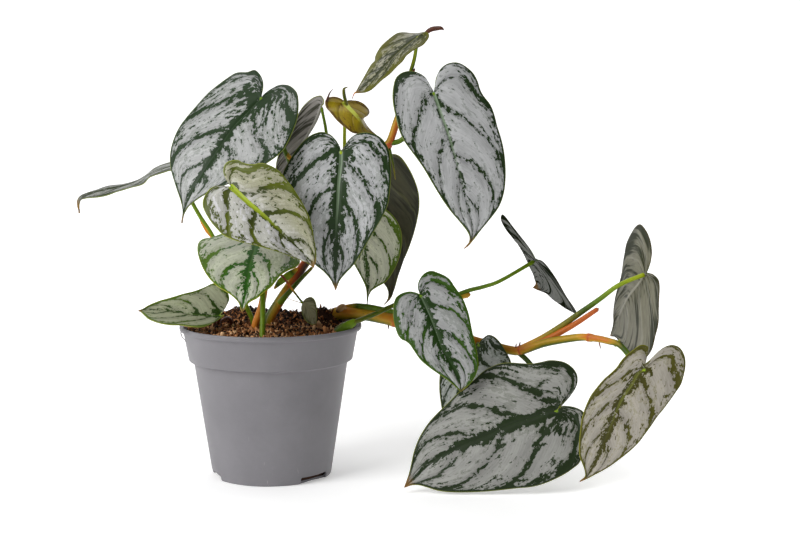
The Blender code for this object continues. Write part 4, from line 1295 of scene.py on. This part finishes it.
def make_crust():
    """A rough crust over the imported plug, which keeps its solid and takes the same finish."""
    ground = soil_finish("soil_ground", False)
    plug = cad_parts["soil"].data.materials
    plug.clear()
    plug.append(ground)
    bm = bmesh.new()
    bmesh.ops.create_grid(bm, x_segments=90, y_segments=30, size=1)
    for vert in bm.verts:
        angle, away = math.pi * vert.co.x, (SOIL_R + 1) * (vert.co.y + 1) / 2
        x, y = away * math.cos(angle), away * math.sin(angle)
        vert.co = (x, y, soil_height(x, y) - 0.2)
    close(bm)
    thicken(new_piece("soil_crust", bm, (), [ground]), CRUST_T, -1)


def spot_on_soil(draw, radius):
    """A place drawn at random, spread evenly over the soil."""
    away = radius * math.sqrt(draw.random())
    angle = draw.uniform(0, 2 * math.pi)
    return away * math.cos(angle), away * math.sin(angle)


def make_crumbs(draw):
    bm = bmesh.new()
    tones = bm.verts.layers.float.new("tone")
    for _ in range(CRUMBS):
        x, y = spot_on_soil(draw, SOIL_R)
        size = draw.choice(CRUMB_SIZES) * draw.uniform(0.7, 1.5)
        size *= 1.8 if draw.random() < 0.06 else 1
        tone = draw.choice(CRUMB_TONES) + draw.uniform(-0.06, 0.06)
        # Painted shade: crumbs in the back half are darker, and those beyond 32 mm behind the
        # middle darker still
        tone += (0.2 if draw.random() < 0.1 else 0) - 0.25 * (y > 2) - 0.2 * (y > 32)
        turn = Euler([draw.uniform(0, 6.28) for _ in range(3)]).to_matrix().to_4x4()
        shape = Matrix.Diagonal((size * draw.uniform(0.8, 2.8), size * draw.uniform(0.6, 1.3),
                                 size * 0.5, 1))
        lift = Matrix.Translation((x, y, soil_height(x, y) + size * draw.uniform(-0.1, 1.1)))
        made = bmesh.ops.create_icosphere(bm, subdivisions=1, radius=1, matrix=lift @ turn @ shape)
        for vert in made["verts"]:
            vert.co += Vector([draw.uniform(-0.32, 0.32) * size for _ in range(3)])
            vert[tones] = tone
    new_piece("soil_crumbs", bm, (), [soil_finish("soil_crumb", True)])


def add_fibre(bm, points, radius, tone, sides, step):
    add_tube(bm, points, lambda share: radius * (1 - share ** 6) * min(1, share * 8),
             lambda share, angle: tone, sides=sides, step=step)


def make_fibres(draw):
    """Coir fibres on the soil, and the long one that hangs over the rim at the left."""
    bm = bmesh.new()
    for _ in range(FIBRES):
        at = Vector((*spot_on_soil(draw, SOIL_R - 3), 0))
        heading = draw.uniform(0, 2 * math.pi)
        points = []
        for _ in range(5):
            heading += draw.uniform(-0.7, 0.7)
            at = at + Vector((math.cos(heading), math.sin(heading), 0)) * draw.uniform(0.8, 2)
            if at.xy.length > SOIL_R - 1:
                at *= (SOIL_R - 1) / at.xy.length
            points.append(Vector((at.x, at.y, soil_height(at.x, at.y) + draw.uniform(0.8, 2.2))))
        add_fibre(bm, points, 0.16, draw.uniform(0.2, 0.8), 4, 1.6)
    hair = ((190, 327, 0), (185, 327.4, -6), (181.5, 330, -10), (181, 334, -12),
            (183, 338, -14), (186.5, 342, -17), (190, 346, -21))
    add_fibre(bm, [seen(*p) for p in hair], 0.28, 0.1, 6, 0.8)
    close(bm)
    new_piece("soil_fibres", bm, (), [soil_finish("soil_fibre", True)])


# Stage

def floor_finish():
    """Nearly white, and giving off light of its own where the photograph's floor is white."""
    finish = Finish("studio_floor", Roughness=0.9, Specular_IOR_Level=0.1, Emission_Strength=1.0)
    at = finish.object_place()
    colour = finish.mix(finish.grain(at, 3, 2), paint(243, 243, 243), paint(247, 247, 247))
    side, behind, _ = finish.parts(at)
    reach = finish.node("ShaderNodeVectorMath", {"operation": "LENGTH"}, {0: at}, "Value")
    # Painted light: the floor glows, least near the plant and more at the right, behind and far
    # off, which lightens the shadows cast on it there
    share = (side.rise(0.14, 0.3) * 0.8).most(behind.rise(0.1, 0.9)).most(reach.rise(1.4, 2.3))
    glow = finish.mix(share, (0.36, 0.36, 0.36, 1), (0.75, 0.75, 0.75, 1))
    finish.feed(Base_Color=colour, Emission_Color=glow)
    return finish.material


def make_floor():
    """A wide floor that sweeps up behind."""
    half_width, depth, corner, top = 14, 1.6, 0.8, 3.0
    line = [(-half_width, 0)] + [
        (depth + corner * math.sin(a), corner * (1 - math.cos(a)))
        for a in (math.pi / 2 * k / 12 for k in range(13))
    ] + [(depth + corner, top)]
    bm = bmesh.new()
    left = [bm.verts.new((-half_width, y, z)) for y, z in line]
    edges = [bm.edges.new(pair) for pair in zip(left, left[1:])]
    made = bmesh.ops.extrude_edge_only(bm, edges=edges)["geom"]
    right = [g for g in made if isinstance(g, bmesh.types.BMVert)]
    bmesh.ops.translate(bm, vec=(2 * half_width, 0, 0), verts=right)
    mesh = as_mesh("studio_floor", bm, 1)
    mesh.shade_smooth()
    mesh.materials.append(floor_finish())
    floor = show("studio_floor", mesh)


def make_camera():
    camera = show("camera", bpy.data.cameras.new("camera"))
    camera.data.lens = CAMERA_LENS
    camera.data.sensor_width = SENSOR
    camera.location = CAMERA_PLACE
    camera.rotation_euler = (math.pi / 2 - CAMERA_PITCH, 0, 0)
    bpy.context.scene.camera = camera


def make_light():
    """A large soft lamp at the front left, a weak one above, and a dim room."""
    world = bpy.data.worlds.new("studio")
    world.use_nodes = True
    room = world.node_tree.nodes["Background"].inputs
    room["Color"].default_value = (1, 1, 1, 1)
    room["Strength"].default_value = 0.055
    bpy.context.scene.world = world
    lamps = (
        ("key_light", (-1.0, -0.83, 0.95), 0.9, 19.5),
        ("top_light", (0.0, 0.1, 1.5), 1.0, 6),
    )
    for name, where, size, power in lamps:
        light = bpy.data.lights.new(name, "AREA")
        light.size = size
        light.energy = power
        lamp = show(name, light)
        lamp.location = where
        aim = Vector((0.06, 0, 0.13)) - Vector(where)
        lamp.rotation_euler = aim.to_track_quat("-Z", "Y").to_euler()
    bpy.context.scene.view_settings.view_transform = "Standard"


make_floor()
make_camera()
make_light()
make_pot()
make_crust()
SOIL_DRAW = random.Random(7)
make_crumbs(SOIL_DRAW)
make_fibres(SOIL_DRAW)
make_stems(stem_finish())
for blade_name, blade_spec in BLADES.items():
    make_blade(blade_name, blade_spec)
